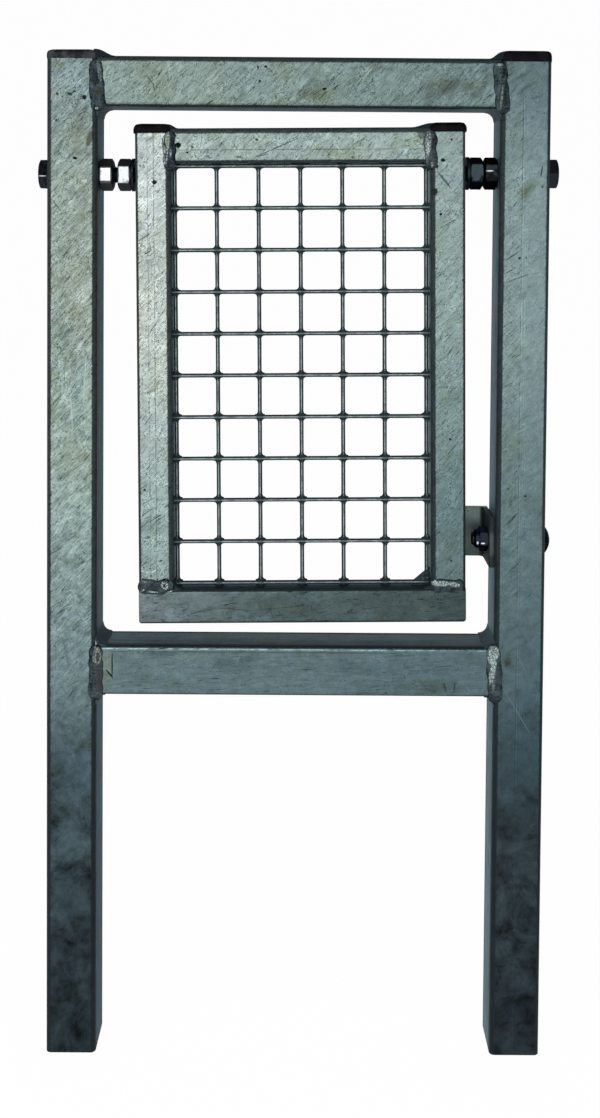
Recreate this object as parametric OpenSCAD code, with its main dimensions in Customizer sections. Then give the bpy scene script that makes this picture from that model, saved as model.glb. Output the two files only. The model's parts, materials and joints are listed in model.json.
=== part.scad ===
// Badger gate: a welded frame of square box section with a top-hung, one-way mesh flap.
// Seen from the front, X runs to the right, Y to the back and Z up. The origin is on the
// back face of the left post, level with the underside of the sill rail.

/* [Frame] */
// Clear width between the posts
opening_w = 240; // [200:5:400]
// Clear height between the sill rail and the top rail
opening_h = 324; // [260:1:450]
// Length of the legs below the sill rail
leg_len = 220; // [100:5:400]
// Side of the posts' and rails' square box section
frame_box = 30; // [28:1:50]
// Wall of the frame's box section
frame_wall = 2.5; // [1.5:0.5:4]
// Outer corner radius of the frame's box section
frame_corner = 3; // [2:0.5:5]

/* [Flap] */
// Gap between the top rail and the flap
top_gap = 11.5; // [10:0.5:20]
// Gap between the flap and the sill rail
sill_gap = 13; // [8:0.5:30]
// Side of the flap's square box section
flap_box = 21; // [18:1:24]
// Wall of the flap's box section
flap_wall = 2; // [1.5:0.5:3]
// Outer corner radius of the flap's box section
flap_corner = 2.5; // [1.5:0.5:3]
// Radius of the flap's two lower corners, seen from the front
foot_round = 2.5; // [1:0.5:4]

/* [Mesh] */
// Distance from one wire to the next
mesh_pitch = 25.4; // [15:0.1:50]
// Diameter of the wires
wire_d = 2.5; // [1.5:0.1:4]
// Depth to which two crossing wires are welded into each other
wire_sink = 0.4; // [0.2:0.1:0.8]
// Sides of a wire's section
wire_sides = 8; // [6:2:12]
// Gap between the flap's top rail and the first cross wire
mesh_gap = 0.2; // [0.1:0.1:3]
// Length of a weld that tacks the mesh to the flap
tack_len = 12; // [6:1:20]
// Height of a tack
tack_h = 3; // [2:0.5:6]
// Thickness of a tack
tack_t = 3; // [2:0.5:4]

/* [Pivots] */
// Distance from the flap's top down to the pivot axis
pivot_drop = 27.5; // [22:0.5:40]
// Rise from the left pivot bolt to the right one
pivot_rise = 2.4; // [0:0.1:4]
// Diameter of the pivot bolts
bolt_d = 10; // [8:1:12]
// Length of the pivot bolts under the head
bolt_len = 65; // [60:5:70]
// Width across the flats of the bolt heads and nuts
hex_af = 17; // [14:1:19]
// Height of the bolt heads
head_h = 6.4; // [4:0.1:9]
// Thickness of the nuts
nut_t = 8; // [5:0.5:10]
// Diameter of the washers beside the flap
washer_d = 20; // [18:1:24]
// Thickness of the washers
washer_t = 2; // [1:0.5:3]
// Gap between the two nuts on the left bolt
left_nut_gap = 3; // [0.5:0.1:6]
// Gap between the two nuts on the right bolt
right_nut_gap = 0.8; // [0.5:0.1:6]
// Play between the flap and the left washer
left_play = 1; // [0.4:0.1:2]
// Play between the flap and the right washer
right_play = 1.2; // [0.4:0.1:2]
// Clearance round a bolt in its post
post_fit = 0.25; // [0.1:0.05:0.5]
// Clearance round a bolt in the flap
pivot_fit = 0.3; // [0.1:0.05:0.5]

/* [Stop] */
// Distance from the pivot axis down to the middle of the stop
stop_drop = 222; // [120:1:260]
// Width of each leg of the stop's angle
stop_leg = 30; // [24:1:40]
// Thickness of the stop's angle
stop_t = 3; // [2:0.5:5]
// Length of the stop's angle
stop_len = 31; // [20:1:50]
// Gap behind the flap in which it leans before it meets the stop
stop_gap = 7.5; // [5:0.5:15]
// Diameter of the stop's bolt
stop_bolt_d = 8; // [6:1:10]
// Diameter of the stop bolt's cup head
cup_d = 20; // [16:1:24]
// Height of the cup head
cup_h = 5; // [3:0.5:6]
// Width across the flats of the stop's nut
stop_nut_af = 13; // [10:1:17]
// Thickness of the stop's nut
stop_nut_t = 8; // [5:0.5:10]
// Bolt that shows beyond the stop's nut
stop_bolt_end = 1.5; // [0.5:0.5:4]

/* [Caps] */
// Height of a post's cap above the tube
post_cap_h = 5; // [3:0.5:8]
// Height of a flap cap above the tube
flap_cap_h = 3; // [2.5:0.5:6]
// Width by which a cap's rim stands out past its tube
cap_lip = 1; // [0.5:0.5:2]
// Height of a cap's upright rim
cap_rim = 1.5; // [1:0.5:2.5]
// Slope inwards of a cap's shoulder
cap_shoulder = 4; // [2:0.5:6]
// Depth of a cap's plug in the tube
cap_plug = 10; // [5:1:20]
// Clearance round a cap's plug
cap_fit = 0.15; // [0.05:0.05:0.3]

/* [Welds] */
// Width of a weld bead
bead_w = 7; // [5:0.5:9]
// Height of a weld bead over the tubes
bead_h = 1.5; // [0.5:0.1:2.5]
// Length by which a bead stops short of each edge of the tube
bead_short = 1; // [0.5:0.5:3]

/* [Hidden] */
$fn = 48;
eps = 0.01;

// Frame
post_gap = opening_w + frame_box;          // from post centre to post centre
mid_x = post_gap / 2;                      // middle of the gate
mid_y = -frame_box / 2;                    // middle of the posts' depth
frame_top = 2 * frame_box + opening_h;
top_rail_z = frame_top - frame_box / 2;
sill_rail_z = frame_box / 2;

// Flap
left_gap = 2 * nut_t + left_nut_gap + washer_t + left_play;
right_gap = 2 * nut_t + right_nut_gap + washer_t + right_play;
flap_w = opening_w - left_gap - right_gap;
flap_mid = mid_x + (left_gap - right_gap) / 2;
flap_h = opening_h - top_gap - sill_gap;
flap_bottom = frame_box + sill_gap;
flap_top = flap_bottom + flap_h;
inner_w = flap_w - 2 * flap_box;
inner_h = flap_h - 2 * flap_box;
stile_x = (flap_w - flap_box) / 2;         // from the flap's middle to a stile's centre
flap_top_rail_z = flap_top - flap_box / 2;
flap_bottom_rail_z = flap_bottom + flap_box / 2;
flap_back = mid_y + flap_box / 2;
pivot_z = flap_top - pivot_drop;
pivot_tilt = atan(pivot_rise / (flap_w - flap_wall));

// Mesh
mesh_top = flap_top - flap_box - mesh_gap - wire_d / 2;
upright_gaps = floor((inner_w - wire_d) / mesh_pitch);
cross_gaps = floor((inner_h - wire_d - mesh_gap) / mesh_pitch);
wire_r = wire_d / 2 / cos(180 / wire_sides);

// Stop
stop_z = pivot_z - stop_drop;
stop_face = opening_w + frame_box / 2;     // the right post's inner face
stop_back = flap_back + stop_gap + stop_t;

// Turn of each nut about its bolt, as it came to rest when tightened
left_clamp_turn = 7;
left_spacer_turn = 2;
right_clamp_turn = 29;
right_spacer_turn = 41;
stop_nut_turn = 12;

steel = [0.62, 0.66, 0.65];
light_zinc = [0.72, 0.76, 0.74];
weld_grey = [0.42, 0.45, 0.45];
zinc_plate = [0.5, 0.52, 0.53];
dark_zinc = [0.3, 0.31, 0.33];
black = [0.06, 0.06, 0.07];

// A square with round corners, as four circles and the two bars that join them
module round_square(side, corner) {
    reach = side / 2 - corner;
    square([side, 2 * reach], center = true);
    square([2 * reach, side], center = true);
    for (sx = [-1, 1], sy = [-1, 1]) translate([sx * reach, sy * reach]) circle(corner);
}

// The outside of an upright box section that stands on the point given
module solid_box(side, corner, length) {
    linear_extrude(length) round_square(side, corner);
}

module box_tube(side, wall, corner, length) {
    linear_extrude(length) difference() {
        round_square(side, corner);
        round_square(side - 2 * wall, max(corner - wall, wall / 4));
    }
}

// Lays what stands along Z along X, centred on the point given
module along_x(length) {
    translate([-length / 2, 0, 0]) rotate([0, 90, 0]) children();
}

module hex_prism(flats, length, turn) {
    rotate([0, 0, turn]) cylinder(h = length, r = flats / 2 / cos(30), $fn = 6);
}

// ---- frame ----

module post_at(x) {
    translate([x, mid_y, -leg_len]) children();
}

module post_tube() {
    box_tube(frame_box, frame_wall, frame_corner, leg_len + frame_top);
}

module post_outside(x) {
    post_at(x) solid_box(frame_box, frame_corner, leg_len + frame_top);
}

// Height of a pivot bolt: side is -1 on the left and 1 on the right
function bolt_z(side) = pivot_z + side * pivot_rise / 2;

module pivot_hole(x, side) {
    translate([x, mid_y, bolt_z(side)]) along_x(2 * frame_box)
        cylinder(h = 2 * frame_box, r = bolt_d / 2 + post_fit);
}

module left_post() {
    color(steel) difference() {
        post_at(0) post_tube();
        pivot_hole(0, -1);
    }
}

module right_post() {
    color(steel) difference() {
        post_at(post_gap) post_tube();
        pivot_hole(post_gap, 1);
        translate([post_gap, mid_y, stop_z]) along_x(2 * frame_box)
            cylinder(h = 2 * frame_box, r = stop_bolt_d / 2 + post_fit);
    }
}

module rail_at(z) {
    translate([mid_x, mid_y, z]) along_x(opening_w) children();
}

module frame_rail(z) {
    color(steel) rail_at(z) box_tube(frame_box, frame_wall, frame_corner, opening_w);
}

module rail_outside(z) {
    rail_at(z) solid_box(frame_box, frame_corner, opening_w);
}

module top_rail() { frame_rail(top_rail_z); }
module sill_rail() { frame_rail(sill_rail_z); }

// ---- caps ----

// Side view of a cap over its tube: an upright rim, then a shoulder up to a flat crown
module cap_profile(width, height) {
    half = width / 2;
    crown = half - cap_shoulder;
    polygon([[-half, 0], [half, 0], [half, cap_rim], [crown, height], [-crown, height], [-half, cap_rim]]);
}

module end_cap(side, wall, corner, height) {
    width = side + 2 * cap_lip;
    plug = side - 2 * wall - 2 * cap_fit;
    color(black) {
        intersection() {
            solid_box(width, corner + cap_lip, height);
            for (turn = [0, 90]) rotate([90, 0, turn]) translate([0, 0, -width])
                linear_extrude(2 * width) cap_profile(width, height);
        }
        translate([0, 0, -cap_plug])
            solid_box(plug, max(corner - wall, wall / 4) + cap_fit, cap_plug + eps);
    }
}

module post_cap(x) {
    translate([x, mid_y, frame_top]) end_cap(frame_box, frame_wall, frame_corner, post_cap_h);
}

module left_post_cap() { post_cap(0); }
module right_post_cap() { post_cap(post_gap); }

module stile_cap(side) {
    hung() translate([side * stile_x, 0, flap_top])
        end_cap(flap_box, flap_wall, flap_corner, flap_cap_h);
}

module left_stile_cap() { stile_cap(-1); }
module right_stile_cap() { stile_cap(1); }

// ---- welds ----

// Section of a bead over a groove: a low crown, and the metal that fills the groove below it
module bead_section(groove, crown) {
    r = (bead_w * bead_w / 4 + crown * crown) / (2 * crown);
    intersection() {
        translate([0, crown - r]) circle(r);
        translate([-bead_w / 2, 0]) square([bead_w, bead_w]);
    }
    translate([-bead_w / 2, -groove]) square([bead_w, groove + eps]);
}

// Section of a groove that is filled and dressed flush
module flush_section(groove) {
    translate([-groove, -groove]) square([2 * groove, groove]);
}

// An upright bead that runs over half of length to each side, its crown towards the front
module front_bead(length, groove) {
    translate([0, 0, -length / 2]) rotate([0, 0, 180]) linear_extrude(length) bead_section(groove, bead_h);
}

module back_bead(length, groove) {
    translate([0, 0, -length / 2]) linear_extrude(length) bead_section(groove, bead_h);
}

module back_fill(length, groove) {
    translate([0, 0, -length / 2]) linear_extrude(length) flush_section(groove);
}

// The posts' back faces stay clear, so the beads there are dressed flush
module frame_weld(post_x, side, z) {
    joint_x = post_x - side * frame_box / 2;
    length = frame_box - 2 * bead_short;
    color(weld_grey) difference() {
        union() {
            translate([joint_x, -frame_box, z]) front_bead(length, frame_corner);
            translate([joint_x, 0, z]) back_fill(length, frame_corner);
        }
        post_outside(post_x);
        rail_outside(z);
    }
}

module top_left_weld() { frame_weld(0, -1, top_rail_z); }
module top_right_weld() { frame_weld(post_gap, 1, top_rail_z); }
module sill_left_weld() { frame_weld(0, -1, sill_rail_z); }
module sill_right_weld() { frame_weld(post_gap, 1, sill_rail_z); }

// ---- pivots ----

// Puts what points along Z at the pivot, pointing along X: towards the flap from either post
module on_pivot(side, from_post) {
    translate([mid_x + side * (opening_w / 2 - from_post), mid_y, bolt_z(side)])
        rotate([0, -90 * side, 0]) children();
}

module pivot_bolt(side) {
    color(zinc_plate) {
        on_pivot(side, -frame_box - head_h) {
            cylinder(h = head_h + bolt_len, r = bolt_d / 2);
            hex_prism(hex_af, head_h, 30);
        }
    }
}

module left_pivot_bolt() { pivot_bolt(-1); }
module right_pivot_bolt() { pivot_bolt(1); }

module pivot_nut(side, from_post, turn) {
    color(zinc_plate) on_pivot(side, from_post) difference() {
        hex_prism(hex_af, nut_t, turn);
        translate([0, 0, -nut_t]) cylinder(h = 3 * nut_t, r = bolt_d / 2);
    }
}

module left_clamp_nut() { pivot_nut(-1, 0, left_clamp_turn); }
module right_clamp_nut() { pivot_nut(1, 0, right_clamp_turn); }

module left_spacer_nut() {
    pivot_nut(-1, left_gap - left_play - washer_t - nut_t, left_spacer_turn);
}

module right_spacer_nut() {
    pivot_nut(1, right_gap - right_play - washer_t - nut_t, right_spacer_turn);
}

module spacer_washer(side, from_post) {
    color(zinc_plate) on_pivot(side, from_post) difference() {
        cylinder(h = washer_t, r = washer_d / 2);
        translate([0, 0, -washer_t]) cylinder(h = 3 * washer_t, r = bolt_d / 2);
    }
}

module left_spacer_washer() { spacer_washer(-1, left_gap - left_play - washer_t); }
module right_spacer_washer() { spacer_washer(1, right_gap - right_play - washer_t); }

// ---- stop ----

module stop_bore(radius) {
    translate([stop_face, mid_y, stop_z]) along_x(4 * stop_leg) cylinder(h = 4 * stop_leg, r = radius);
}

// An angle: one leg on the post's inner face, the other behind the flap's right stile
module stop_bracket() {
    color(steel) difference() {
        translate([stop_face - stop_leg, stop_back - stop_leg, stop_z - stop_len / 2])
        linear_extrude(stop_len) {
            translate([stop_leg - stop_t, 0]) square([stop_t, stop_leg]);
            translate([0, stop_leg - stop_t]) square([stop_leg, stop_t]);
            difference() {
                translate([stop_leg - 2 * stop_t, stop_leg - 2 * stop_t]) square(stop_t);
                translate([stop_leg - 2 * stop_t, stop_leg - 2 * stop_t]) circle(stop_t);
            }
        }
        stop_bore(stop_bolt_d / 2 + post_fit);
    }
}

module stop_bolt() {
    ball_r = (cup_d * cup_d / 4 + cup_h * cup_h) / (2 * cup_h);
    shank = frame_box + stop_t + stop_nut_t + stop_bolt_end;
    color(dark_zinc) translate([stop_face + frame_box, mid_y, stop_z]) {
        rotate([0, -90, 0]) cylinder(h = shank, r = stop_bolt_d / 2);
        rotate([0, 90, 0]) intersection() {
            translate([0, 0, cup_h - ball_r]) sphere(ball_r);
            cylinder(h = cup_h, r = cup_d);
        }
    }
}

module stop_nut() {
    color(dark_zinc) translate([stop_face - stop_t, mid_y, stop_z]) rotate([0, -90, 0]) difference() {
        hex_prism(stop_nut_af, stop_nut_t, stop_nut_turn);
        translate([0, 0, -stop_nut_t]) cylinder(h = 3 * stop_nut_t, r = stop_bolt_d / 2);
    }
}

// ---- flap ----

// Hangs the flap on its two bolts. It is drawn upright, with X counted from its middle and
// Y from the middle of its depth, and its pivot axis runs from bolt to bolt.
module hung() {
    translate([flap_mid, mid_y, pivot_z]) rotate([0, -pivot_tilt, 0])
        translate([0, 0, -pivot_z]) children();
}

module stile_outside(side) {
    translate([side * stile_x, 0, flap_bottom + flap_box])
        solid_box(flap_box, flap_corner, flap_h - flap_box);
}

// The stiles run from the bottom rail to the flap's top; each pivot bolt enters the outer wall
module stile(side) {
    color(light_zinc) hung() difference() {
        translate([side * stile_x, 0, flap_bottom + flap_box])
            box_tube(flap_box, flap_wall, flap_corner, flap_h - flap_box);
        translate([side * flap_w / 2, 0, pivot_z]) along_x(flap_box)
            cylinder(h = flap_box, r = bolt_d / 2 + pivot_fit);
    }
}

module left_stile() { stile(-1); }
module right_stile() { stile(1); }

module flap_top_outside() {
    translate([0, 0, flap_top_rail_z]) along_x(inner_w) solid_box(flap_box, flap_corner, inner_w);
}

module flap_top_rail() {
    color(light_zinc) hung() translate([0, 0, flap_top_rail_z])
        along_x(inner_w) box_tube(flap_box, flap_wall, flap_corner, inner_w);
}

// Front view of the bottom rail: its two lower corners are dressed round
module foot_outline() {
    straight = flap_w / 2 - foot_round;
    translate([-flap_w / 2, foot_round]) square([flap_w, flap_box - foot_round]);
    translate([-straight, 0]) square([2 * straight, foot_round + eps]);
    for (side = [-1, 1]) translate([side * straight, foot_round]) circle(foot_round);
}

module flap_bottom_outside() {
    intersection() {
        translate([0, 0, flap_bottom_rail_z]) along_x(flap_w) solid_box(flap_box, flap_corner, flap_w);
        translate([0, flap_box / 2, flap_bottom]) rotate([90, 0, 0])
            linear_extrude(flap_box) foot_outline();
    }
}

// The bottom rail runs the flap's whole width, and its ends are closed
module flap_bottom_rail() {
    hollow = flap_w - 2 * flap_wall;
    bore = flap_box - 2 * flap_wall;
    color(light_zinc) hung() difference() {
        flap_bottom_outside();
        translate([0, 0, flap_bottom_rail_z])
            along_x(hollow) solid_box(bore, max(flap_corner - flap_wall, flap_wall / 4), hollow);
    }
}

// The two beads along Z over a joint, one on the flap's front and one on its back
module joint_beads() {
    length = flap_box - 2 * bead_short;
    translate([0, -flap_box / 2, 0]) front_bead(length, flap_corner);
    translate([0, flap_box / 2, 0]) back_bead(length, flap_corner);
}

module flap_top_weld(side) {
    color(weld_grey) hung() difference() {
        translate([side * inner_w / 2, 0, flap_top_rail_z]) joint_beads();
        stile_outside(side);
        flap_top_outside();
    }
}

module flap_top_left_weld() { flap_top_weld(-1); }
module flap_top_right_weld() { flap_top_weld(1); }

module flap_bottom_weld(side) {
    color(weld_grey) hung() difference() {
        translate([side * stile_x, 0, flap_bottom + flap_box]) rotate([0, 90, 0]) joint_beads();
        stile_outside(side);
        flap_bottom_outside();
    }
}

module flap_bottom_left_weld() { flap_bottom_weld(-1); }
module flap_bottom_right_weld() { flap_bottom_weld(1); }

// ---- mesh ----

module wire(length) {
    rotate([0, 0, 180 / wire_sides]) cylinder(h = length, r = wire_r, $fn = wire_sides);
}

module upright_wires() {
    for (i = [0 : upright_gaps])
        translate([(i - upright_gaps / 2) * mesh_pitch, 0, flap_bottom + flap_box]) wire(inner_h);
}

// The cross wires lie in front of the uprights, sunk a little into them
module cross_wires() {
    for (i = [0 : cross_gaps])
        translate([0, wire_sink - wire_d, mesh_top - i * mesh_pitch]) along_x(inner_w) wire(inner_w);
}

module mesh_panel() {
    color(light_zinc) hung() {
        upright_wires();
        cross_wires();
    }
}

// A weld from a rail's inner face at height z, behind the cross wires. It is centred on x.
module tack(x, z) {
    translate([x - tack_len / 2, wire_sink - wire_d / 2, z]) cube([tack_len, tack_t, tack_h]);
}

// Welds that hold the mesh to the rails: one in each corner, and one in the middle of the top
module mesh_tacks() {
    corner_x = (inner_w - tack_len) / 2;
    top_z = flap_top - flap_box - tack_h;
    color(weld_grey) hung() difference() {
        union() {
            for (x = [-corner_x, 0, corner_x]) tack(x, top_z);
            for (x = [-corner_x, corner_x]) tack(x, flap_bottom + flap_box);
        }
        upright_wires();
        cross_wires();
    }
}

left_post();
right_post();
top_rail();
sill_rail();
left_post_cap();
right_post_cap();
top_left_weld();
top_right_weld();
sill_left_weld();
sill_right_weld();
left_pivot_bolt();
right_pivot_bolt();
left_clamp_nut();
right_clamp_nut();
left_spacer_nut();
right_spacer_nut();
left_spacer_washer();
right_spacer_washer();
stop_bracket();
stop_bolt();
stop_nut();
left_stile();
right_stile();
flap_top_rail();
flap_bottom_rail();
left_stile_cap();
right_stile_cap();
mesh_panel();
mesh_tacks();
flap_top_left_weld();
flap_top_right_weld();
flap_bottom_left_weld();
flap_bottom_right_weld();
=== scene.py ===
"""Looks of the badger gate: a galvanised frame and its top-hung mesh flap, in metres."""
import json
import math

import bmesh
import bpy
from mathutils import Matrix, Vector, noise

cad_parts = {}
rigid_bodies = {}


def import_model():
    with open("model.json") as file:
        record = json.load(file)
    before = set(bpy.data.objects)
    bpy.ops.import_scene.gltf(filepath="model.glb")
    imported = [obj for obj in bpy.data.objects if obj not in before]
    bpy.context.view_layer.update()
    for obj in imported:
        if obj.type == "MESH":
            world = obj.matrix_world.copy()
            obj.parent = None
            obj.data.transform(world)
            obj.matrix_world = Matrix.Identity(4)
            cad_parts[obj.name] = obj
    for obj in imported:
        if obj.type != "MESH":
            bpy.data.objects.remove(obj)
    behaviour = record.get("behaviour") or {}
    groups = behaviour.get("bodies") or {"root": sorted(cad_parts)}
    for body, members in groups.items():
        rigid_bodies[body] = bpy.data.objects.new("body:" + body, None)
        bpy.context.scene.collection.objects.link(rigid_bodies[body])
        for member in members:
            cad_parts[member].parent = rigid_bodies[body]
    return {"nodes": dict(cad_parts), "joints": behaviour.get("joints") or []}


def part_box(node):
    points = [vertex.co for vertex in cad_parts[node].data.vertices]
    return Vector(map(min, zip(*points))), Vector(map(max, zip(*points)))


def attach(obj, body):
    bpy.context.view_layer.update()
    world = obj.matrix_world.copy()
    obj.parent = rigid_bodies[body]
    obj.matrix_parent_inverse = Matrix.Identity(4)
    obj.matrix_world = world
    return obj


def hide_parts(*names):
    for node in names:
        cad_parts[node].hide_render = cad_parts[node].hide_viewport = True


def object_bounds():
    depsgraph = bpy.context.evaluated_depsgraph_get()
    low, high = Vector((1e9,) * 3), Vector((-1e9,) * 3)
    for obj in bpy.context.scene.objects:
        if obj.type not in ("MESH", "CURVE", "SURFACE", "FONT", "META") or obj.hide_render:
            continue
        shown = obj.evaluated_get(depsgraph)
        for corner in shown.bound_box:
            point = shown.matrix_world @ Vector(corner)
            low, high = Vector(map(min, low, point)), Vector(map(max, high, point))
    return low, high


for leftover in list(bpy.data.objects):
    bpy.data.objects.remove(leftover)

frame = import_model()
cad_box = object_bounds()

MM = 0.001
FRAME = "frame"
FLAP = "flap"
RIGHT = Vector((1, 0, 0))
BACK = Vector((0, 1, 0))
UP = Vector((0, 0, 1))
FRONT = -BACK

HALF_POST = 15 * MM
HALF_STILE = 10.5 * MM
HUNG_TUBES = ("left_stile", "right_stile", "flap_top_rail", "flap_bottom_rail")

HEX_FLATS = 17 * MM
HEAD_HEIGHT = 6.4 * MM
BOLT_RADIUS = 5 * MM
BOLT_PITCH = 1.5 * MM

BRACKET_THICK = 3 * MM
CUP_HEIGHT = 5 * MM
STOP_RADIUS = 4 * MM
STOP_PITCH = 1.25 * MM
STOP_FLATS = 13 * MM
STOP_HEX_HEIGHT = 5.4 * MM

WIRE_RADIUS = 1.25 * MM
WIRE_PITCH = 25.4 * MM
UPRIGHT_WIRES = 7
CROSS_WIRES = 11
PANEL_RIM = 0.2 * MM  # from the panel's top edge to its top wire
WEB = 1.9 * MM  # how far the zinc reaches into the corners where wires meet
SUNK_TOGETHER = 0.4 * MM  # how far the cross wires are sunk into the upright ones

# The flap hangs on a pivot axis that isn't quite level. Its pieces are made upright, then hung.
swing = frame["joints"][0]
pivot = Vector(swing["pos_m"])
tilt = math.atan2(swing["axis"][2], swing["axis"][0])
HUNG = Matrix.Translation(pivot) @ Matrix.Rotation(-tilt, 4, "Y") @ Matrix.Translation(-pivot)
UPRIGHT = HUNG.inverted()


def box(node):
    """Lowest and highest corners of a node."""
    return [Vector(corner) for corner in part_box(node)]


def upright_box(node):
    """Lowest and highest corners of one of the flap's nodes, with the flap turned upright."""
    corners = [UPRIGHT @ v.co for v in frame["nodes"][node].data.vertices]
    return [Vector([pick(c[axis] for c in corners) for axis in range(3)]) for pick in (min, max)]


# ---------------------------------------------------------------- finishes

class Reading:
    """A value read off a node. Sums on it add Math nodes."""

    def __init__(self, nodes, socket):
        self.nodes = nodes
        self.socket = socket

    def _math(self, operation, *values):
        return self.nodes.node("ShaderNodeMath", {"operation": operation}, dict(enumerate(values)))

    def __add__(self, other):
        return self._math("ADD", self, other)

    def __sub__(self, other):
        return self._math("SUBTRACT", self, other)

    def __rsub__(self, other):
        return self._math("SUBTRACT", other, self)

    def __mul__(self, other):
        return self._math("MULTIPLY", self, other)

    def __truediv__(self, other):
        return self._math("DIVIDE", self, other)

    def __abs__(self):
        return self._math("ABSOLUTE", self)

    __radd__ = __add__
    __rmul__ = __mul__

    def over(self, other):
        """The greater of the two."""
        return self._math("MAXIMUM", self, other)

    def under(self, other):
        """The lesser of the two."""
        return self._math("MINIMUM", self, other)

    def step(self, low, high):
        """0 up to low, 1 from high on, and a smooth ramp between them; high may be the lower."""
        ends = {"From Min": min(low, high), "From Max": max(low, high)}
        ends.update({"To Min": 1.0, "To Max": 0.0} if high < low else {"To Min": 0.0, "To Max": 1.0})
        return self.nodes.node("ShaderNodeMapRange", {"interpolation_type": "SMOOTHSTEP"},
                               {"Value": self, **ends})


class Nodes:
    """The nodes of a material or of the world, all added by one method."""

    def __init__(self, tree):
        self.tree = tree

    def node(self, kind, settings=None, sockets=None, output=0):
        made = self.tree.nodes.new(kind)
        for name, value in (settings or {}).items():
            if name == "stops":
                self.set_stops(made.color_ramp, value)
            else:
                setattr(made, name, value)
        for name, value in (sockets or {}).items():
            self.feed(made.inputs[name], value)
        return Reading(self, made.outputs[output])

    def feed(self, socket, value):
        if isinstance(value, Reading):
            self.tree.links.new(value.socket, socket)
        else:
            socket.default_value = value

    def set_stops(self, ramp, stops):
        while len(ramp.elements) < len(stops):
            ramp.elements.new(0.5)
        for element, (place, colour) in zip(ramp.elements, stops):
            element.position = place
            element.color = (*colour, 1)

    def readings(self, kind, sockets, outputs):
        """Several values read off one node."""
        made = self.node(kind, {}, sockets).socket.node
        return [Reading(self, made.outputs[output]) for output in outputs]

    def parts(self, vector):
        """The three numbers of a vector."""
        return self.readings("ShaderNodeSeparateXYZ", {"Vector": vector}, range(3))

    def rays(self):
        """1 on rays from the camera, rays off gloss and rays through glass, each by itself."""
        kinds = ("Is Camera Ray", "Is Glossy Ray", "Is Transmission Ray")
        return self.readings("ShaderNodeLightPath", {}, kinds)


class Finish(Nodes):
    """One material, whose shader takes what its nodes give."""

    def __init__(self, name):
        self.material = bpy.data.materials.new(name)
        self.material.use_nodes = True
        super().__init__(self.material.node_tree)
        self.shader = self.tree.nodes["Principled BSDF"]
        self.spot = self.node("ShaderNodeTexCoord", output="Object")

    def placed(self, centre, turn=0.0, size=(1, 1, 1)):
        """The spot counted from a centre, on axes turned about Y, in steps of the size given."""
        return self.node("ShaderNodeMapping", {"vector_type": "TEXTURE"}, {
            "Vector": self.spot, "Location": centre, "Rotation": (0, turn, 0), "Scale": size})

    def clouds(self, vector, scale, detail=2, rough=0.5, twist=0):
        return self.node("ShaderNodeTexNoise", {}, {
            "Vector": vector, "Scale": scale, "Detail": detail, "Roughness": rough, "Distortion": twist})

    def uneven(self, vector, scale, detail=2, rough=0.5, twist=0):
        """Clouds that are as often under 0 as over it."""
        return self.clouds(vector, scale, detail, rough, twist) * 2 - 1

    def cells(self, vector, scale, feature="F1"):
        return self.node("ShaderNodeTexVoronoi", {"feature": feature},
                         {"Vector": vector, "Scale": scale}, output="Distance")

    def around(self, place, size, lean=0.0, ragged=0.0, soft=False):
        """1 near a place on a front face, in an ellipse of (wide, tall) half sizes that leans in degrees."""
        near = self.placed(place, math.radians(lean), (size[0], 10 * MM, size[1]))
        reach = self.node("ShaderNodeVectorMath", {"operation": "LENGTH"}, {0: near}, output="Value")
        return (reach + ragged).step(*((1.5, 0.2) if soft else (1.15, 0.75)))

    def patch(self, start, row, ragged, soft=False):
        """1 around a patch that is a row of x, z, half width, half height in mm, and lean."""
        x, z, wide, tall, lean = row
        place = (start[0] + x * MM, start[1], start[2] + z * MM)
        return self.around(place, (wide * MM, tall * MM), lean, ragged, soft)

    def blend(self, share, first, second):
        """A colour that goes from first to second as share goes from 0 to 1."""
        first, second = (c if isinstance(c, Reading) else (*c, 1) for c in (first, second))
        return self.node("ShaderNodeMix", {"data_type": "RGBA"}, {0: share, 6: first, 7: second}, output=2)

    def shade(self, colour, factor):
        """A colour made lighter or darker by a factor."""
        return self.node("ShaderNodeVectorMath", {"operation": "SCALE"}, {0: colour, "Scale": factor})

    def tinted(self, colour, share, filter_colour):
        """A colour seen through a coloured film, as far as share goes."""
        film = self.blend(share, (1, 1, 1), filter_colour)
        return self.node("ShaderNodeVectorMath", {"operation": "MULTIPLY"}, {0: colour, 1: film})

    def ramp(self, value, stops):
        return self.node("ShaderNodeValToRGB", {"stops": stops}, {"Fac": value})

    def bump(self, height, depth, strength):
        return self.node("ShaderNodeBump", {}, {"Height": height, "Distance": depth, "Strength": strength},
                         output="Normal")

    def set(self, **sockets):
        for name, value in sockets.items():
            self.feed(self.shader.inputs[name.replace("_", " ")], value)
        return self.material


# Angles of the strokes on the zinc.
STROKES = math.radians(-46)
NEAR_LEVEL = math.radians(-4)
SLIGHT_FALL = math.radians(-8)

# The dark of dirt in specks and seams, and of painted shade on rounded edges and at weld toes.
GRIME_AND_SHADE = (0.011, 0.016, 0.018)
OLIVE = (0.87, 0.87, 0.77)
COOL = (0.98, 1.0, 1.03)
WARM = (1.2, 0.98, 0.80)
ZINC_GLOSS = (0.74, 0.91, 1.0, 1)
WELD_GLOSS = (0.72, 0.88, 1.0, 1)
PLATE_GLOSS = (0.3, 0.34, 0.4, 1)
WELD = (0.036, 0.050, 0.056)
BEHIND = (0.022, 0.038, 0.044)
PALE = (0.54, 0.67, 0.65)
SIDE_SHADES = [(-300, 0.028, 0.052, 0.062), (300, 0.028, 0.052, 0.062)]


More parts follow.
